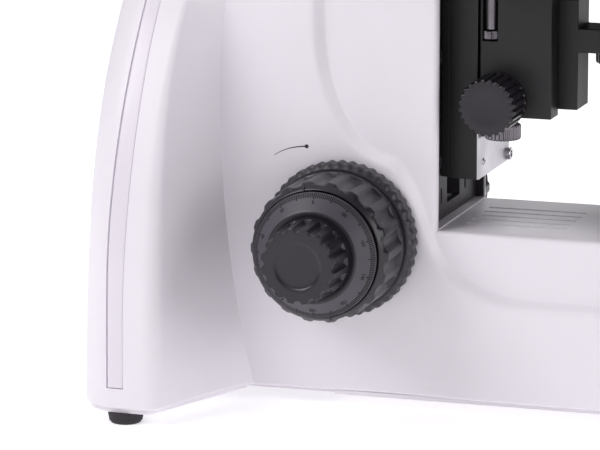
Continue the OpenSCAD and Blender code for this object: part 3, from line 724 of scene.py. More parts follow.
def side_face():
    """Triangles of the right-hand side face, with its step, edges and groove."""
    across = columns()
    bends = [1 - math.cos(math.radians(18 * k)) for k in range(1, 6)]
    bottom = [(u, BODY_Z) for u in across]
    top = [(u, ARM_TOP_Z) for u in across if u > NOSE_U + 1.5][::-1] + [(NOSE_U, ARM_TOP_Z)]
    end = [(U_END, z) for z in runs(BODY_Z + 4, HOLE_LOW_Z - 2, 4)] + rear_hole()
    end += [(U_END, z) for z in runs(HOLE_HIGH_Z + 4, ARM_TOP_Z - 4, 4)]
    nose = [(NOSE_U, ARM_TOP_Z - TOP_EDGE_R * b) for b in bends]
    nose += [(NOSE_U, z) for z in runs(ARM_TOP_Z - TOP_EDGE_R - 4, ARM_UNDER_Z + 4, 4)]
    front = [(BASE_U, z) for z in runs(DECK_Z - 4, BODY_Z + 4, 4)]
    loop = bottom + end + top + nose + edge_line(0.0)[::-1] + front
    lines = [edge_line(EDGE_R * b) for b in bends]
    for b in bends:
        lines.append([(u, BODY_Z + BOTTOM_EDGE_R * b) for u in across])
        over = [NOSE_U] + [u for u in across if u > NOSE_U + 1]
        lines.append([(u, ARM_TOP_Z - TOP_EDGE_R * b) for u in over])
    normal = np.gradient(CONTOUR, axis=0)
    normal /= np.linalg.norm(normal, axis=1, keepdims=True)
    normal = np.stack([normal[:, 1], -normal[:, 0]], -1)
    normal[0], normal[-1] = (0, -1), (0, 1)
    for at in STEP_AT:
        lines.append((CONTOUR + normal * at).tolist())
    heights = runs(BODY_Z + 3, ARM_TOP_Z - TOP_EDGE_R - 2, 4)
    heights += [GROOVE_LOW_Z, GROOVE_LOW_Z + GROOVE_WALL, GROOVE_HIGH_Z - GROOVE_WALL, GROOVE_HIGH_Z]
    heights += [ARM_TOP_Z - 1.5, ARM_TOP_Z - 4]
    extra = np.array([(u, z) for z in heights for u in across])
    step, edge = contour_distance(*extra.T), edge_distance(*extra.T)
    clear = ((step < -4) | (step > 5.8)) & (edge > EDGE_R + 1.2) & (extra[:, 1] > BODY_Z + 2.4)
    clear &= (extra[:, 0] > np.where(extra[:, 1] < 180, BASE_U, NOSE_U) + 1) & inside(extra, [loop])
    flat, faces = triangles([loop], lines, extra[clear])
    points = stand_surface(flat[:, 0], flat[:, 1], groove(flat[:, 0], flat[:, 1]))
    return points, faces


SLOT_HALF, SLOT_PITCH, SLOT_DEPTH = 1.2, 8.4, 5.0
POCKET_DEPTH, TRENCH_DEPTH = 3.6, 8.0  # behind the guide panel and behind its window


def middle_band():
    """The deck, arm front, throat and underside between the two side faces, with the five
    vent slots and the pocket of the focus guide sunk into it."""
    line = edge_line(0.0)
    rims = stand_surface(*np.array(line).T)
    full = SIDE_X - EDGE_R
    slots = [SLOT_PITCH * i + side * SLOT_HALF for i in range(-2, 3) for side in (-1, 1)]
    at = sorted([-full, full, -POCKET_X, POCKET_X, -24.0, 24.0, *slots])
    share = np.array(at) / full
    rows, cols = len(line), len(at)
    points = [(f * rims[r][0], rims[r][1], rims[r][2]) for r in range(rows) for f in share]

    def sunk(r, c):
        if not (0 <= r < rows - 1 and 0 <= c < cols - 1):
            return None
        u, z = (line[r][0] + line[r + 1][0]) / 2, (line[r][1] + line[r + 1][1]) / 2
        x = (at[c] + at[c + 1]) / 2
        narrow = at[c + 1] - at[c] < 2 * SLOT_HALF + 0.01
        if abs(z - DECK_Z) < 0.1 and SLOTS_FRONT_Y < u < SLOTS_REAR_Y and narrow:
            return (0.0, 0.0, -SLOT_DEPTH)
        if abs(u - ARM_FRONT_Y) < 0.1 and POCKET_LOW_Z < z < POCKET_HIGH_Z and abs(x) < POCKET_X:
            deep = TRENCH_DEPTH if abs(x) < SLOT_PITCH + SLOT_HALF else POCKET_DEPTH
            return (0.0, PANEL_Y + deep - ARM_FRONT_Y, 0.0)
        return None

    floor = {}

    def low(index, move):
        if not any(move):
            return index
        if (index, move) not in floor:
            floor[index, move] = len(points)
            points.append(tuple(a + b for a, b in zip(points[index], move)))
        return floor[index, move]

    faces = []
    for r in range(rows - 1):
        for c in range(cols - 1):
            corners = [r * cols + c, r * cols + c + 1, (r + 1) * cols + c + 1, (r + 1) * cols + c]
            move = sunk(r, c)
            if move is None:
                faces.append(corners)
                continue
            faces.append([low(i, move) for i in corners])
            sides = [(r - 1, c, 0, 1), (r, c + 1, 1, 2), (r + 1, c, 2, 3), (r, c - 1, 3, 0)]
            for nr, nc, i, j in sides:
                beside = sunk(nr, nc) or (0.0, 0.0, 0.0)
                if sum(beside) ** 2 < sum(move) ** 2:
                    a, b = corners[i], corners[j]
                    faces.append([low(a, beside), low(b, beside), low(b, move), low(a, move)])
    return points, faces


def end_face(z):
    """The flat top or bottom of the stand."""
    across = columns()
    if z > DECK_Z:
        across = [NOSE_U] + [u for u in across if u > NOSE_U + 1.5]
    rim = stand_surface(np.array(across), np.full(len(across), z))
    left = rim * (-1, 1, 1)
    loop = np.concatenate([rim, left[::-1][1:-1]])
    return loop, [list(range(len(loop)))]


def build_stand():
    right = Shape().add(side_face())
    stand = Shape().add((right.points, right.faces))
    left = right.mirrored()
    stand.add((left.points, left.faces))
    stand.add(middle_band())
    stand.add(end_face(ARM_TOP_Z))
    stand.add(end_face(BODY_Z))
    make("stand_shell", stand, "base_casting", replaces=["base_casting", "arm_casting"], sharp=40)


def build_trim_strips():
    """Slim inlays that follow the wing's outer face in their grooves."""
    front, rear = U_STRIP + 0.14, U_STRIP_END - 0.62
    low, high = GROOVE_LOW_Z + 0.5, GROOVE_HIGH_Z - 0.5
    edge = [(0.0, 0.95), (0.0, 0.4), (0.12, 0.2), (0.4, 0.08)]
    across = [(front + d, s) for d, s in edge] + [(u, 0.05) for u in runs(front + 1, rear - 1, 1)]
    across += [(rear - d, s) for d, s in edge[::-1]]
    along, sunk = np.array(across).T
    heights = [low, *runs(low + 0.3, high - 0.3, 3), high]
    shape = Shape()
    for side in (1, -1):
        points = []
        for z in heights:
            dip = 0.15 if z in (low, high) else 0.0
            points.append(stand_surface(along, np.full(len(along), z), sunk + dip))
        cols = len(across)
        faces = grid(len(heights), cols)
        last = (len(heights) - 1) * cols
        faces += [list(range(cols))[::-1], [last + c for c in range(cols)]]
        one = Shape().add((np.concatenate(points), faces))
        one = one if side > 0 else one.mirrored()
        shape.add((one.points, one.faces))
    make("trim_strips", shape, "rear_trim_strips")


# ---------------------------------------------------------------- knobs


def pocket(turn, count, width, sharpness=0.8):
    """A row of count rounded pockets round a knob, 1 at a pocket's middle, 0 between pockets."""
    phase = (turn * count + math.pi) % (2 * math.pi) - math.pi
    return np.clip(1 - (phase / (width * math.pi)) ** 2, 0, 1) ** sharpness


def quarter(t):
    """Rises from 0 to 1 like a quarter circle."""
    t = np.clip(t, 0, 1)
    return np.sqrt(t * (2 - t))


LEFT = place_at(0, KNOB_Y, KNOB_Z, ("Y", -90))


def both_knobs(name, shape, looks):
    """The left-hand piece and its mirror image on the right, named as their CAD nodes."""
    for side, one in (("left", shape), ("right", shape.mirrored())):
        make(f"{name}_{side}", one, f"{name}_{side}", looks, sharp=50, flat=False)


COARSE_R, COARSE_POCKETS, COARSE_DENT = 29.4, 18, 1.45
FINE_FLUTES, FINE_DENT, FINE_FACE, DRUM_MARKS = 16, 1.4, 105.0, 200
FINE_SIDES = 16 * FINE_FLUTES


def coarse_knob():
    def dent(turn, height, radius):
        length = quarter((height - 56.6) / 2.6) * quarter((77.6 - height) / 2.4)
        return COARSE_DENT * pocket(turn, COARSE_POCKETS, 0.6, 0.55) * length * (radius > 26.4)

    r = COARSE_R
    profile = [(5, 53), (28.5, 53), (29.1, 53.2), (r, 53.8), (r, 55.6), (29.25, 55.9), (29.25, 56.2)]
    profile += [(r, h) for h in (56.5, *runs(56.8, 60, 0.4), *runs(62, 74, 2), *runs(74.5, 75.7, 0.4))]
    profile += [(29.25, 76.1), (28.95, 76.6), (28.55, 77.1), (28.1, 77.7), (27.6, 78.3), (27.1, 78.9)]
    profile += [(26.8, 79.3), (26.45, 79.45), (26.2, 79.2), (26.2, 78.2), (5, 78.2), (5, 53)]
    shape = Shape().add(lathe(profile, 14 * COARSE_POCKETS, dent), 0, LEFT)
    for turn in (12, 192):
        at = LEFT @ Matrix.Rotation(math.radians(turn), 4, "Z") @ Matrix.Translation((26.9, 0, 78.95))
        at = at @ Matrix.Rotation(math.radians(48), 4, "Y")
        shape.add(plate(rectangle(-1.5, 1.5, -0.36, 0.36, 0.12), 0.1, 0.55, 0.06), 1, at)
    both_knobs("coarse_knob", shape, ["knob_plastic", "black_marks_and_socket_shade"])


CONE_LOW, CONE_HIGH = (25.9, 81.3), (19.2, 87.0)


def on_cone(points):
    """Wraps flat points (x round the cone, y up its slope from the rim, z off the surface)."""
    p = np.array(points, float)
    run = np.array([CONE_HIGH[0] - CONE_LOW[0], CONE_HIGH[1] - CONE_LOW[1]])
    run = run / np.hypot(*run)
    out = (run[1], -run[0])
    r = CONE_LOW[0] + run[0] * p[:, 1] + out[0] * p[:, 2]
    h = CONE_LOW[1] + run[1] * p[:, 1] + out[1] * p[:, 2]
    turn = p[:, 0] / CONE_LOW[0]
    return np.stack([r * np.cos(turn), r * np.sin(turn), h], -1)


def figure(text, size, depth):
    """A number as a thin solid, centred, in millimetres."""
    curve = bpy.data.curves.new("figure", "FONT")
    curve.body = text
    curve.size = size
    curve.extrude = depth / 2
    curve.resolution_u = 3
    curve.align_x = curve.align_y = "CENTER"
    holder = in_scene("figure", curve)
    mesh = bpy.data.meshes.new_from_object(holder.evaluated_get(bpy.context.evaluated_depsgraph_get()))
    points = np.array([v.co[:] for v in mesh.vertices]).reshape(-1, 3)
    faces = [list(p.vertices) for p in mesh.polygons]
    bpy.data.objects.remove(holder)
    bpy.data.curves.remove(curve)
    bpy.data.meshes.remove(mesh)
    return points, faces


def fine_knob():
    def dent(turn, height, radius):
        length = quarter((height - 89.6) / 2.4)
        return FINE_DENT * pocket(turn, FINE_FLUTES, 0.6, 0.75) * length * (radius > 12.5) * (height > 89)

    drum = [CONE_LOW, (25.75, 81.45)]
    drum += [(25.9 - 6.7 * k / 8, 81.3 + 5.7 * k / 8) for k in range(1, 8)]
    profile = [CONE_HIGH, (18.8, 87.25), (18.2, 87.3), (17.2, 87.1), (16.8, 87.0), (16.6, 87.4), (16.5, 88.4)]
    profile += [(16.4 - 0.6 * (h - 89) / 16, h) for h in (89.0, *runs(89.4, 92.6, 0.4), *runs(94, 104, 2))]
    profile += [(15.8, 104.5), (15.6, 104.8), (15.3, 104.98), (14.9, FINE_FACE)]
    face = [(r, FINE_FACE) for r in (14.9, 13.6, 12.4, 11, 10.2)]
    face += [(9.8, 104.9), (9.5, 104.7), (9.2, 104.5), (8.8, 104.4), (8.2, 104.36), (5, 104.34), (0, 104.34)]
    shape = Shape().add(lathe(profile, FINE_SIDES, dent), 0, LEFT)
    shape.add(lathe([(3, 80.3), (25.5, 80.3), (25.9, 80.6), CONE_LOW], FINE_SIDES), 0, LEFT)
    shape.add(lathe([*drum, CONE_HIGH], FINE_SIDES), 2, LEFT)

    def face_dent(turn, height, radius):
        return FINE_DENT * pocket(turn, FINE_FLUTES, 0.6, 0.75) * np.clip((radius - 12.4) / 2.5, 0, 1)

    shape.add(lathe(face, FINE_SIDES, face_dent), 0, LEFT)
    # The ticks and figures are slightly raised near-black marks (material 1), painted shade standing for the
    # shade in the drum's engraved marks.
    bar = plate(rectangle(-0.2, 0.2, 0.35, 2.5, 0.06, 1), -0.05, 0.12, 0.05)
    long_bar = plate(rectangle(-0.24, 0.24, 0.35, 3.3, 0.06, 1), -0.05, 0.12, 0.05)
    rim = 2 * math.pi * CONE_LOW[0]
    for k in range(DRUM_MARKS):
        points, faces = long_bar if k % 10 == 0 else bar
        moved = points + (rim * k / DRUM_MARKS, 0, 0)
        shape.add((on_cone(moved), faces), 1, LEFT)
    for k in range(10):
        points, faces = figure(str(20 * k), 2.3, 0.16)
        moved = points * (-1, -1, 1) + (rim * k / 10, 4.7, 0.05)
        shape.add((on_cone(moved), faces), 1, LEFT)
    both_knobs("fine_knob", shape, ["knob_plastic", "drum_engraving_shade", "drum_plastic"])


RING_SCALLOPS = 44


def side_ring(name, node, left):
    """The scalloped ring between the stand and a coarse knob."""

    def dent(turn, height, radius):
        wave = (0.5 - 0.5 * np.cos(RING_SCALLOPS * turn)) ** 1.2
        return 0.8 * wave * (radius > 29) * quarter((52.2 - height) / 1.6)

    profile = [(12.1, 46), (15.4, 46), (15.4, 43.6), (31.6, 43.6), (32.3, 43.9), (32.5, 44.5)]
    profile += [(32.5, h) for h in runs(45.5, 49.5, 1)]
    profile += [(32.4, 50.2), (32.1, 50.8), (31.6, 51.3), (31.0, 51.8), (30.4, 52.2), (29.8, 52.4)]
    profile += [(12.1, 52.4), (12.1, 46)]
    shape = Shape().add(lathe(profile, 8 * RING_SCALLOPS, dent), 0, LEFT)
    make(name, shape if left else shape.mirrored(), node, ["ring_plastic"], sharp=38)


def fluted_post(
    name, node, place, radius, z0, z1, count, depth, width, stem, looks=None, closed=1.6, bore=0.0
):
    """A fluted knob along +Z with its face at z0 and the flutes running out near z1."""

    def dent(turn, height, r):
        run_out = quarter((z1 - closed * 0.4 - height) / closed)
        return depth * pocket(turn, count, width) * run_out * (r > radius - depth - 1.2)

    body = [(bore, z0 + 0.25), (radius * 0.55, z0 + 0.2), (radius * 0.62, z0), (radius - 1.1, z0)]
    body += [(radius - 0.5, z0 + 0.15), (radius - 0.12, z0 + 0.5), (radius, z0 + 1.1)]
    body += [(radius, h) for h in runs(z0 + 2, z1 - 3, 1.5)]
    body += [(radius, h) for h in runs(z1 - 2.6, z1 - 0.8, 0.35)]
    body += [(radius - 0.25, z1 - 0.3), (radius - 0.9, z1)]
    shape = Shape().add(lathe(body + stem, count * 12, dent), 0, place)
    make(name, shape, node, looks, sharp=38)


def build_knobs():
    coarse_knob()
    fine_knob()
    side_ring("limit_scallop", "limit_ring", True)
    side_ring("tension_scallop", "tension_ring", False)
    at = place_at(66, 40, 0)
    stem = [(6.9, 149), (6.9, 194), (3.6, 194), (3.6, 134.25)]
    fluted_post("stage_y_grip", "stage_knob_y", at, 15, 134, 149, 24, 1.0, 0.62, stem, bore=3.6)
    stem = [(3.5, 133.4), (3.5, 194), (0, 194)]
    fluted_post("stage_x_grip", "stage_knob_x", at, 11, 113, 133.4, 20, 0.9, 0.62, stem)
    at = place_at(0, 74.4, 130.4, ("Y", 90))
    stem = [(3, -21.5), (3, 16), (0, 16)]
    fluted_post("condenser_grip", "condenser_knob", at, 12, -39.5, -21.5, 24, 0.9, 0.56, stem, closed=2.2)
    at = place_at(-12.5, 74.6, 0)
    stem = [(3, 119.5), (3, 126.2), (0, 126.2)]
    wheel = ("stop_wheel_grip", "condenser_stop_wheel", at, 7.5, 113, 119.5, 26, 0.55, 0.7, stem)
    fluted_post(*wheel, ["dark_steel"], closed=0.6)
    at = place_at(51.6, 30, 28, ("Y", -90))
    fluted_post("dimmer_grip", "dimmer_dial", at, 13, 0, 9, 24, 0.9, 0.6, [(4, 9.0), (4, 22), (0, 22)])
    at = place_at(55, 0, 325.8, ("Y", -90))
    stem = [(2.5, 12), (2.5, 25.4), (0, 25.4)]
    fluted_post("clamp_grip", "head_clamp_screw", at, 7, 0, 12, 20, 0.6, 0.6, stem)


# ---------------------------------------------------------------- focus guide

UPRIGHT = Matrix.Rotation(math.radians(90), 4, "X")  # plates drawn as (x, z), their +Z to the front
ACROSS = Matrix(((0, 0, 1, 0), (1, 0, 0, 0), (0, 1, 0, 0), (0, 0, 0, 1)))  # (y, z) outlines laid along X


RACK_TEETH, TOOTH_PITCH = 34, 2.25


def build_guide():
    slots = [rectangle(x - 0.9, x + 0.9, 85, 91.5, 0.85, 5) for x in (-18, 18)]
    slots += [rectangle(x - 0.25, x + 0.25, 92.8, 96.2, 0.2, 2) for x in (-24.5, 24.5)]
    slots += [rectangle(-9.5, 9.5, 84, 226, 1.0)]
    half = POCKET_X - 0.15
    panel = plate(rectangle(-half, half, 78.3, 235.9, 1.0), -PANEL_Y - 2.5, -PANEL_Y, 0.3, slots)
    shape = Shape().add(panel, 0, UPRIGHT)
    for side in (-1, 1):
        lip = plate(rectangle(95.9, PANEL_Y + 0.2, 78.3, 235.9, 0.2, 2), -0.35, 0.35, 0.15)
        shape.add(lip, 0, place_at(side * (half - 0.35), 0, 0) @ ACROSS)
    behind = PANEL_Y + 6.7
    for low, high in ((84, 93), (116, 226)):
        shape.add(plate(rectangle(-9.6, 9.6, low, high, 0.2, 2), -behind - 0.6, -behind, 0.15), 0, UPRIGHT)
        wall = plate(rectangle(PANEL_Y + 2.4, behind + 0.5, low, high, 0.2, 2), -0.15, 0.15, 0.05)
        for x in (-9.35, 9.35):
            shape.add(wall, 0, place_at(x, 0, 0) @ ACROSS)
    screw = eased([(0, 0), (3.1, 0), (3.1, 1.6), (0, 1.6)], 0.35)
    for x in (-26, 26):
        for z in (104, 148, 192, 228):
            at = place_at(x, PANEL_Y, z, ("X", 90))
            shape.add(lathe(screw, 32), 1, at)
            # painted shade: the black hexagon on each screw head stands for the shade in its hex socket
            shape.add(plate(ring_points(0, 0, 1.3, 6), 1.55, 1.75, 0.05), 2, at)
    make("guide_cover", shape, "guide_panel", ["black_sheet", "dark_plastic", "black_marks_and_socket_shade"])

    slide = Shape()
    slide.add(plate(rectangle(-21, 21, 96.7, 184, 0.6), -95.3, -83.2, 0.45), 0, UPRIGHT)
    slide.add(plate(rectangle(-20.5, 20.5, 97.1, 183.6, 0.5), -PANEL_Y + 0.4, -95.3, 0.3), 0, UPRIGHT)
    slide.add(plate(rectangle(-20.9, 27.4, 96.5, 122.4, 0.8), -83.6, -82.8, 0.25), 1, UPRIGHT)
    slide.add(plate(rectangle(21.2, 27.2, 96.7, 122.2, 0.6), -95.3, -83.4, 0.3), 0, UPRIGHT)
    slide.add(plate(rectangle(-9, 9, 100, 180, 0.5), -PANEL_Y - 4.6, -PANEL_Y + 0.4, 0.3), 1, UPRIGHT)
    tooth = plate([(-1.0, 0), (1.0, 0), (0.45, 1.5), (-0.45, 1.5)], -8.5, 8.5, 0.12)
    for k in range(RACK_TEETH):
        slide.add(tooth, 1, place_at(0, PANEL_Y + 4.7, 103 + TOOTH_PITCH * k, ("Y", 90)))
    make("slide_block", slide, "focus_slide", ["black_metal", "satin_chrome"])

    screws = Shape()
    socket = [(0, 1.1), (1.35, 1.1), (1.45, 1.9), (1.7, 2.0), (2.45, 2.0), (2.75, 1.7), (2.75, 0), (0, 0)]
    for x, z, y, size in ((-12.3, 103.0, 84.3, 0.5), (24.0, 99.8, 82.8, 1.0)):
        at = place_at(x, y, z, ("X", 90)) @ Matrix.Diagonal((size, size, 1, 1))
        screws.add(lathe(socket, 48, knurl(60, 0.12, 2.6)), 0, at)
        # painted shade: the black hexagon at the socket's floor stands for the shade in the hex socket
        screws.add(plate(ring_points(0, 0, 1.5, 6), 1.02, 1.16, 0.03), 1, at)
    make("socket_screws", screws, "slide_screws", ["nickel", "black_marks_and_socket_shade"])


def knurl(count, depth, over):
    """A dent for lathe(): fine straight knurling on radii beyond over."""

    def dent(turn, height, radius):
        return depth * (0.5 - 0.5 * np.cos(count * turn)) * (radius > over)

    return dent


def build_carrier():
    wall = rectangle(52, 82.4, 123.6, 185.8, 0.4)
    window = rectangle(75, 81.3, 155, 177, 0.3, 2)
    shape = Shape().add(plate(wall, -21, -9.2, 0.5, [window]), 0, ACROSS)
    shape.add(plate(wall, 9.2, 21, 0.5), 0, ACROSS)
    shape.add(plate(rectangle(70, 82.3, 123.8, 185.6, 0.4), -9.3, 9.3, 0.2), 0, ACROSS)
    end = math.asin(4 / 32)
    bay = arc(0, 0, 32, -end, math.pi + end, 0.1)
    flange = [(46, -4), (46, 79), (-46, 79), (-46, -4), *bay[::-1]]
    shape.add(plate(flange, 179, 185.9, 0.5))
    make("carrier", shape, "stage_carrier", ["black_metal"])
    softened("condenser_arm", "condenser_bracket", ["black_metal"], 0.4)
    at = place_at(-17.6, 78.4, 0)
    stem = eased([(0, 159.5), (2.6, 159.5), (2.6, 176.5), (0, 176.5)], 0.5)
    fittings = Shape().add(lathe(stem, 48), 0, at)
    head = eased([(0, 155.6), (3.3, 155.6), (3.3, 159.0), (0, 159.0)], 0.4)
    fittings.add(lathe(head, 96, knurl(24, 0.35, 2.9)), 0, at)
    make("carrier_adjuster", fittings, "stage_carrier", ["dark_steel"], replaces=())


# ---------------------------------------------------------------- base


def build_base_parts():
    feet = Shape()
    profile = eased([(0, 0), (5.9, 0), (6.9, 1.2), (7.5, 4.4), (7.5, 5.0), (0, 5.0)], 0.5)
    for x, y in ((28, -45), (88.5, 213.5)):
        for side in (-1, 1):
            feet.add(lathe(profile, 64), 0, place_at(side * x, y, 0))
    make("feet", feet, "rubber_feet")
    softened("under_plate", "bottom_plate", ["white_paint"], 0.3)
    softened("back_panel", "rear_panel", None, 0.35)
    softened("inlet", "power_inlet", None, 0.25)
    softened("rocker_cap", "power_rocker", None, 0.35)

    housing = [(17, 65.6), (22, 65.6), (22, 77.6), (32, 77.6, 0.4), (32, 81.4, 0.9), (24, 81.4, 0.3)]
    housing += [(24, 88.4, 0.8), (17.2, 88.4, 0.5), (17, 65.6)]
    shape = Shape().add(lathe(eased(housing, 0), 128))
    make("light_port", shape, "field_lens_housing", ["black_metal"])
    dome = [(0, 88.4)] + [(r, math.sqrt(45.5**2 - r * r) + 42.5) for r in runs(1, 16.8, 1)]
    shape = Shape().add(lathe([*dome, (16.8, 79.6), (0, 79.6)], 96))
    make("field_glass", shape, "field_lens")
    ring = [(24.05, 81.9), (28.7, 81.9), (29.5, 82.6), (29.5, 87.0), (28.8, 87.7), (24.05, 87.7)]
    shape = Shape().add(lathe(eased([*ring, ring[0]], 0.3), 48 * 8, knurl(48, 0.7, 28.9)))
    pin = eased([(0, 27.6), (1.5, 27.6), (1.5, 34.2), (0.9, 35.0), (0, 35.0)], 0.3)
    shape.add(lathe(pin, 32), 0, place_at(0, 0, 84.8, ("Y", 90)))
    make("field_ring", shape, "field_iris_ring", ["ring_plastic"])


def build_arc_mark():
    """A thin curved stroke that ends in a dot, on the side face above the limit ring."""
    stroke = bezier([(164.4, 106.2), (160.6, 109.0), (155.6, 110.5), (150.3, 110.7)], 24)
    side = np.gradient(stroke, axis=0)
    side /= np.linalg.norm(side, axis=1, keepdims=True)
    side = np.stack([-side[:, 1], side[:, 0]], -1)
    width = 0.1 + 0.17 * np.linspace(0, 1, 24)[:, None]
    loop = np.concatenate([stroke + side * width, (stroke - side * width)[::-1]])
    flat = Matrix(((0, 0, -1, 0), (1, 0, 0, 0), (0, 1, 0, 0), (0, 0, 0, 1)))
    shape = Shape().add(plate(loop, RAISED_X - 0.06, RAISED_X + 0.05, 0.02), 0, flat)
    shape.add(plate(ring_points(150.3, 110.7, 0.85, 24), RAISED_X - 0.06, RAISED_X + 0.05, 0.02), 0, flat)
    make("travel_mark", shape, "base_casting", ["black_marks_and_socket_shade"], replaces=())


# ---------------------------------------------------------------- stage and condenser


SCALE_MARKS = 61


def build_stage():
    keyhole = [*arc(0, 0, 30, 0, math.pi, 0.1), (-30, -40), (30, -40)]
    holes = [keyhole, ring_points(66, 40, 7.1)]
    lower = Shape().add(plate(rectangle(-80, 80, -58, 80, 9, 6), 186, 194.5, 0.7, holes))
    lower.add(plate(rectangle(-79.6, 79.6, 71.5, 79.6, 2), 194.4, 194.9, 0.15))
    make("stage_lower", lower, "stage_plate")
    window = arc(0, 34, 18, 0, math.pi, 0.16) + arc(0, -22, -18, 0, math.pi, 0.16)
    top = Shape().add(plate(rectangle(-92, 92, -66, 66, 8, 6), 195, 200, 0.8, [window]))
    make("stage_upper", top, "stage_top_plate")
    softened("slide_clip", "specimen_holder", ["black_metal"], 0.3)
    softened("slide_finger", "specimen_finger", None, 0.15)
    scale = Shape()
    for k in range(SCALE_MARKS):
        deep = 3.2 if k % 10 == 0 else 2.4 if k % 5 == 0 else 1.6
        scale.add(plate(rectangle(-30.1 + k, -29.9 + k, 57.0 - deep, 56.8, 0.05, 1), 205.25, 205.36, 0.02))
    for k in range(0, SCALE_MARKS, 10):
        points, faces = figure(str(k), 2.4, 0.12)
        scale.add((points + (-30 + k, 51.4, 205.32), faces))
    make("stage_scale", scale, "specimen_holder", ["mark_white"], replaces=())


def build_condenser():
    body = [(14, 134), (20, 134), (20, 142.2), (22, 142.2), (22, 166), (21, 166), (17, 186)]
    body += [(15, 186), (15, 194), (12.1, 194), (12.1, 165.8), (14, 165.8), (14, 134)]
    shape = Shape().add(lathe(eased(body, 0.5), 128))
    make("condenser_shell", shape, "condenser_body", ["black_metal"])
    dome = [(0, 196)] + [(r, math.sqrt(26**2 - r * r) + 170) for r in runs(1, 12, 1)]
    shape = Shape().add(lathe([*dome, (12, 186.2), (0, 186.2)], 96))
    make("condenser_glass", shape, "condenser_lens")
    ring = [(20.1, 136.1), (24.8, 136.1), (25.5, 136.8), (25.5, 141.2), (24.8, 141.9), (20.1, 141.9)]
    shape = Shape().add(lathe(eased([*ring, ring[0]], 0.3), 40 * 8, knurl(40, 0.6, 25)))
    lever = lathe(eased([(0, 24), (1.4, 24), (1.4, 34), (2.0, 35.2), (1.5, 36), (0, 36)], 0.3), 32)
    shape.add(lever, 0, place_at(0, 0, 139.4, ("X", 90)))
    make("iris_grip", shape, "iris_ring", ["ring_plastic"])
    softened("filter_tray", "filter_holder", ["black_metal"], 0.3)


# ---------------------------------------------------------------- nosepiece


def on_turret():
    return place_at(0, 0, APEX_Z, ("X", 14)) @ Matrix.Scale(-1, 4, (0, 0, 1))


def on_seat(turn):
    return place_at(0, 0, APEX_Z, ("X", 14), ("Z", turn), ("X", -14)) @ Matrix.Translation((0, 0, -CONE_LEN))


def wrapped_figure(text, size, radius, height):
    """A number wrapped round a barrel of the given radius, at the given height."""
    points, faces = figure(text, size, 0.14)
    turn = points[:, 0] / radius - math.pi / 2
    r = radius + points[:, 2]
    return np.stack([r * np.cos(turn), r * np.sin(turn), height + points[:, 1]], -1), faces


def objective(name, node, turn, length, radius, tip, power, band, nose=None):
    place = on_seat(turn)
    low = -length
    shape = Shape()
    barrel = [(0, 4.3), (9.9, 4.3), (10, 0.1), (11.6, 0), (12, -0.5), (12, -3.2), (11.7, -3.5)]
    barrel += [(11.7, -3.9), (12, -4.2), (12, -7.6), (radius, -8.6)]
    band_shape = [(0, 15.6), (-0.35, 15.3), (-0.35, 12.9), (0, 12.6), (0, 10)]
    barrel += [(radius + dr, low + h) for dr, h in band_shape]
    bore = 7.25 if nose else tip * 0.55
    deep = 15 if nose else 2.2
    mouth = [(tip, 0.5), (tip - 0.5, 0), (bore + 0.5, 0), (bore, 0.5), (bore, deep), (0, deep)]
    barrel += [(r, low + h) for r, h in mouth]
    shape.add(lathe(barrel, 144, knurl(72, 0.16, 11.9)), 0, place)
    ring = [(radius - r, low + h) for r, h in ((0.4, 15.1), (0.1, 15.0), (0.1, 13.2), (0.4, 13.1))]
    shape.add(lathe(ring, 96), 1, place)
    shape.add(wrapped_figure(power, 4.0, radius, low + 20.5 if length > 30 else low + 18.2), 2, place)
    if not nose:
        lens = [(0, low + 1.5)] + [(r, low + 1.5 + 0.02 * r * r) for r in runs(0.8, bore + 0.1, 0.8)]
        shape.add(lathe([*lens, (bore + 0.1, low + 2.6), (0, low + 2.6)], 64), 3, place)
    make(name, shape, node, ["satin_chrome", band, "black_marks_and_socket_shade", "glass"])
    if nose:
        part, end, end_r = nose
        tube = [(0, 10 - length), (7.15, 10 - length), (7.15, -length - 2), (end_r + 0.5, 0.4 - end)]
        tube += [(end_r, -end), (end_r * 0.45, -end), (end_r * 0.35, 0.35 - end), (0, 0.35 - end)]
        shape = Shape().add(lathe(tube, 96), 0, place)
        glass = [(0, -end + 0.05), (end_r * 0.42, -end + 0.12), (end_r * 0.42, -end + 0.4), (0, -end + 0.4)]
        shape.add(lathe(glass, 48), 1, place)
        make(f"{name}_tip", shape, part, ["nickel", "glass"])


def build_nosepiece():
    softened("nosepiece_neck", "nosepiece_mount", ["black_metal"], 0.6)
    body = [(0, 77.2), (32, 77.2), (36.8, 81), (36.8, 90.1), (8.2, 97.9), (0, 97.9)]
    shape = Shape().add(lathe(eased(body, 0.8), 128), 0, on_turret())
    grip = eased([(30, 80.6), (38.6, 80.6), (38.6, 88.6), (30, 88.6)], 0.7)
    shape.add(lathe(grip, 48 * 8, knurl(48, 0.8, 37.9)), 1, on_turret())
    shape.add(lathe(eased([(0, 70), (6, 70), (6, 78), (0, 78)], 0.3), 48), 0, on_turret())
    for k in range(4):
        shape.add(lathe(eased([(0, 0.1), (13.1, 0.1), (13.1, 1.6), (0, 1.6)], 0.4), 72), 2, on_seat(90 * k))
    make("turret", shape, "nosepiece_turret", ["black_metal", "ring_plastic", "nickel"])
    objective("objective_low", "objective_4x", 90, 27, 11.5, 9, "4", "band_red")
    objective("objective_medium", "objective_10x", 0, 37, 11.5, 6, "10", "band_yellow")
    objective("objective_high", "objective_40x", 270, 34, 12, 9, "40", "band_blue", ("nose_40x", 44.2, 4))
    objective("objective_oil", "objective_100x", 180, 34, 12, 9, "100", "band_ivory", ("nose_100x", 44.4, 3))


# ---------------------------------------------------------------- head


def at_pivot(turn=0.0):
    return place_at(*PIVOT, ("X", 60), ("Z", turn))


def head_face_y(z):
    return PIVOT[1] + (z - PIVOT[2]) * math.tan(TUBE_TILT)


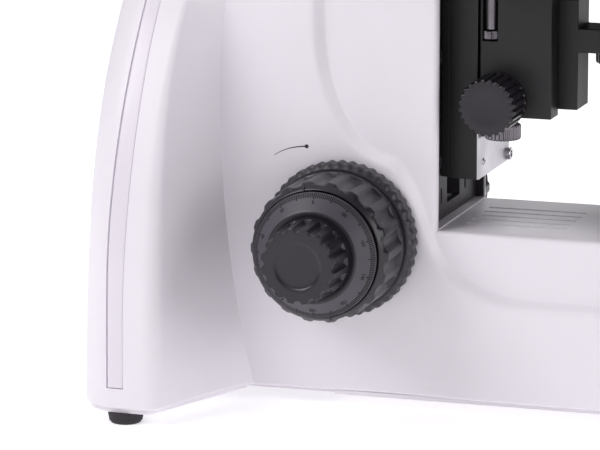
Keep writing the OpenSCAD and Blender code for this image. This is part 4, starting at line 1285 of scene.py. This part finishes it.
def build_head():
    outline = [(head_face_y(338), 338, 7), (46, 338, 7), (50, 376, 12), (32, 398, 14)]
    outline += [(head_face_y(398), 398, 9)]
    shape = Shape().add(plate(eased(outline, 0, 7, True), -37, 37, 7), 0, ACROSS)
    neck = [(13, 325.6), (28.9, 325.6), (28.9, 330.4), (34, 330.4), (34, 336), (32.8, 338.6)]
    neck += [(13, 338.6), (13, 325.6)]
    shape.add(lathe(eased(neck, 0.6), 128))
    boss = eased([(0, -4), (24, -4), (24, 0.2), (22.6, 0.2), (0, 0.2)], 0.4)
    shape.add(lathe(boss, 96), 1, at_pivot())
    cap = eased([(0, 0.2), (7.9, 0.2), (7.9, 19.0), (6.9, 20.0), (0, 20.0)], 0.3)
    shape.add(lathe(cap, 64), 1, at_pivot())
    make("head_shell", shape, "head_body", ["white_paint", "ring_plastic"], sharp=38)
    tube_arm("tube_arm_right", "eyetube_right", RIGHT_TUBE_TURN, 0.4, 9)
    tube_arm("tube_arm_left", "eyetube_left", LEFT_TUBE_TURN, 9.4, 18)
    eyepiece("ocular_right", "eyepiece_right", RIGHT_TUBE_TURN, False)
    eyepiece("ocular_left", "eyepiece_left", LEFT_TUBE_TURN, True)


def tube_arm(name, node, turn, s0, s1):
    big, small = 22.0, 17.0
    lean = math.acos((big - small) / TUBE_OFFSET)
    loop = arc(0, 0, big, lean, 2 * math.pi - lean, 0.12) + arc(TUBE_OFFSET, 0, small, -lean, lean, 0.12)
    hub = ring_points(0, 0, 8.1, 64)
    place = at_pivot(turn)
    shape = Shape().add(plate(loop, s0, s1, 1.6, [hub]), 0, place)
    place = place @ Matrix.Translation((TUBE_OFFSET, 0, 0))
    collar = [(11.7, s0 + 3), (14.6, s0 + 3), (14.4, 36.6), (13.8, 38), (12.2, 38), (11.7, 37.5)]
    shape.add(lathe(eased([*collar, (11.7, s0 + 3)], 0.3), 96), 0, place)
    rim = eased([(12.5, 35.2), (14.75, 35.2), (14.75, 37.8), (12.5, 37.8)], 0.3)
    shape.add(lathe(rim, 96), 1, place)
    make(name, shape, node, ["white_paint", "ring_plastic"])


def eyepiece(name, node, turn, diopter):
    place = at_pivot(turn) @ Matrix.Translation((TUBE_OFFSET, 0, 0))
    body = [(9.6, 22), (11.5, 22), (11.5, 38.5), (15.5, 38.5), (15.5, 50), (15.1, 50.5), (15.1, 51.2)]
    body += [(15.5, 51.7), (15.5, 64.2), (14.6, 64.4), (12.6, 64.4), (12.6, 71.5), (9.6, 71.5), (9.6, 22)]
    grip = knurl(60, 0.5, 15.4) if diopter else knurl(90, 0.18, 15.4)
    shape = Shape().add(lathe(eased(body, 0.3), 360, grip), 0, place)
    cup = [(14.4, 64.3), (15.5, 64.4), (15.7, 66.6), (15.3, 67.2), (15.8, 67.8), (16.1, 70.2)]
    cup += [(15.7, 70.8), (16.2, 71.4), (16.9, 77.2), (16.4, 77.95), (14.8, 78.0), (13.4, 77.4)]
    cup += [(12.5, 75.4), (12.5, 71.8), (12.6, 64.4), (14.4, 64.3)]
    shape.add(lathe(cup, 96), 1, place)
    glass = [(0, 73.6)] + [(r, 73.6 - 0.012 * r * r) for r in runs(1, 12, 1)] + [(12.4, 71.2), (0, 71.2)]
    shape.add(lathe(glass, 96), 2, place)
    make(name, shape, node, ["dark_plastic", "rubber", "glass"])


# ---------------------------------------------------------------- floor, lights, camera


def build_floor():
    """A plain level floor that reaches past the picture on every side."""
    reach = 15.0
    data = bpy.data.meshes.new("floor")
    corners = [(-reach, -reach, 0), (reach, -reach, 0), (reach, reach, 0), (-reach, reach, 0)]
    data.from_pydata(corners, [], [(0, 1, 2, 3)])
    n = Nodes("floor")
    n.colour(n.noise(2, 2), (0.93, 0.93, 0.935), (0.95, 0.95, 0.955))
    n.set(Roughness=0.7, Specular_IOR_Level=0.2, Emission_Color=(1, 1, 1, 1), Emission_Strength=0.41)
    data.materials.append(n.material)
    floor = in_scene("floor", data)


def area_light(name, at, aim, size, power, colour=(1, 1, 1)):
    data = bpy.data.lights.new(name, "AREA")
    data.shape = "RECTANGLE"
    data.size, data.size_y = size
    data.energy = power
    data.color = colour
    lamp = in_scene(name, data)
    lamp.location = at
    lamp.rotation_euler = (Vector(aim) - Vector(at)).to_track_quat("-Z", "Y").to_euler()


def build_studio():
    build_floor()
    aim = to_row([(-60, 130, 90)])[0]
    area_light("key", (-0.9, 0.95, 1.15), aim, (0.9, 0.9), 14.4, (1.0, 0.985, 1.0))
    area_light("left", (-1.5, 0.25, 0.9), aim, (0.9, 0.9), 2.4, (1.0, 0.99, 1.0))
    area_light("front", (-0.45, -1.4, 0.55), aim, (0.8, 0.8), 7.4, (1.0, 0.99, 1.0))
    area_light("top", (0.1, 0.2, 1.7), aim, (1.4, 1.4), 4.0)
    area_light("right", (1.3, 0.0, 1.1), aim, (0.9, 0.9), 9.0)
    world = bpy.data.worlds.new("studio")
    bpy.context.scene.world = world
    world.use_nodes = True
    world.node_tree.nodes["Background"].inputs["Color"].default_value = (0.97, 0.965, 0.98, 1)
    world.node_tree.nodes["Background"].inputs["Strength"].default_value = 0.15
    bpy.context.scene.view_settings.view_transform = "Standard"


def build_camera():
    """Looks at the left side from 18 degrees ahead of square on, 11.8 degrees above."""
    ahead, above, away = math.radians(18), math.radians(11.8), 1.8
    aim = Vector(to_row([(-101.4, 133.9, 90.4)])[0])
    forward = Vector((math.cos(ahead) * math.cos(above), math.sin(ahead) * math.cos(above), -math.sin(above)))
    data = bpy.data.cameras.new("camera")
    data.lens = 270
    data.clip_start, data.clip_end = 0.05, 60
    camera = in_scene("camera", data)
    camera.location = aim - forward * away
    camera.rotation_euler = forward.to_track_quat("-Z", "Y").to_euler()
    bpy.context.scene.camera = camera


# ---------------------------------------------------------------- everything

for cad_node, cad_object in frame["nodes"].items():
    cad_object.data.materials.clear()
    cad_object.data.materials.append(LOOKS[SLOT_OF[cad_node]])

build_camera()
build_studio()
build_stand()
build_trim_strips()
build_knobs()
build_arc_mark()
build_guide()
build_carrier()
build_base_parts()
build_stage()
build_condenser()
build_nosepiece()
build_head()
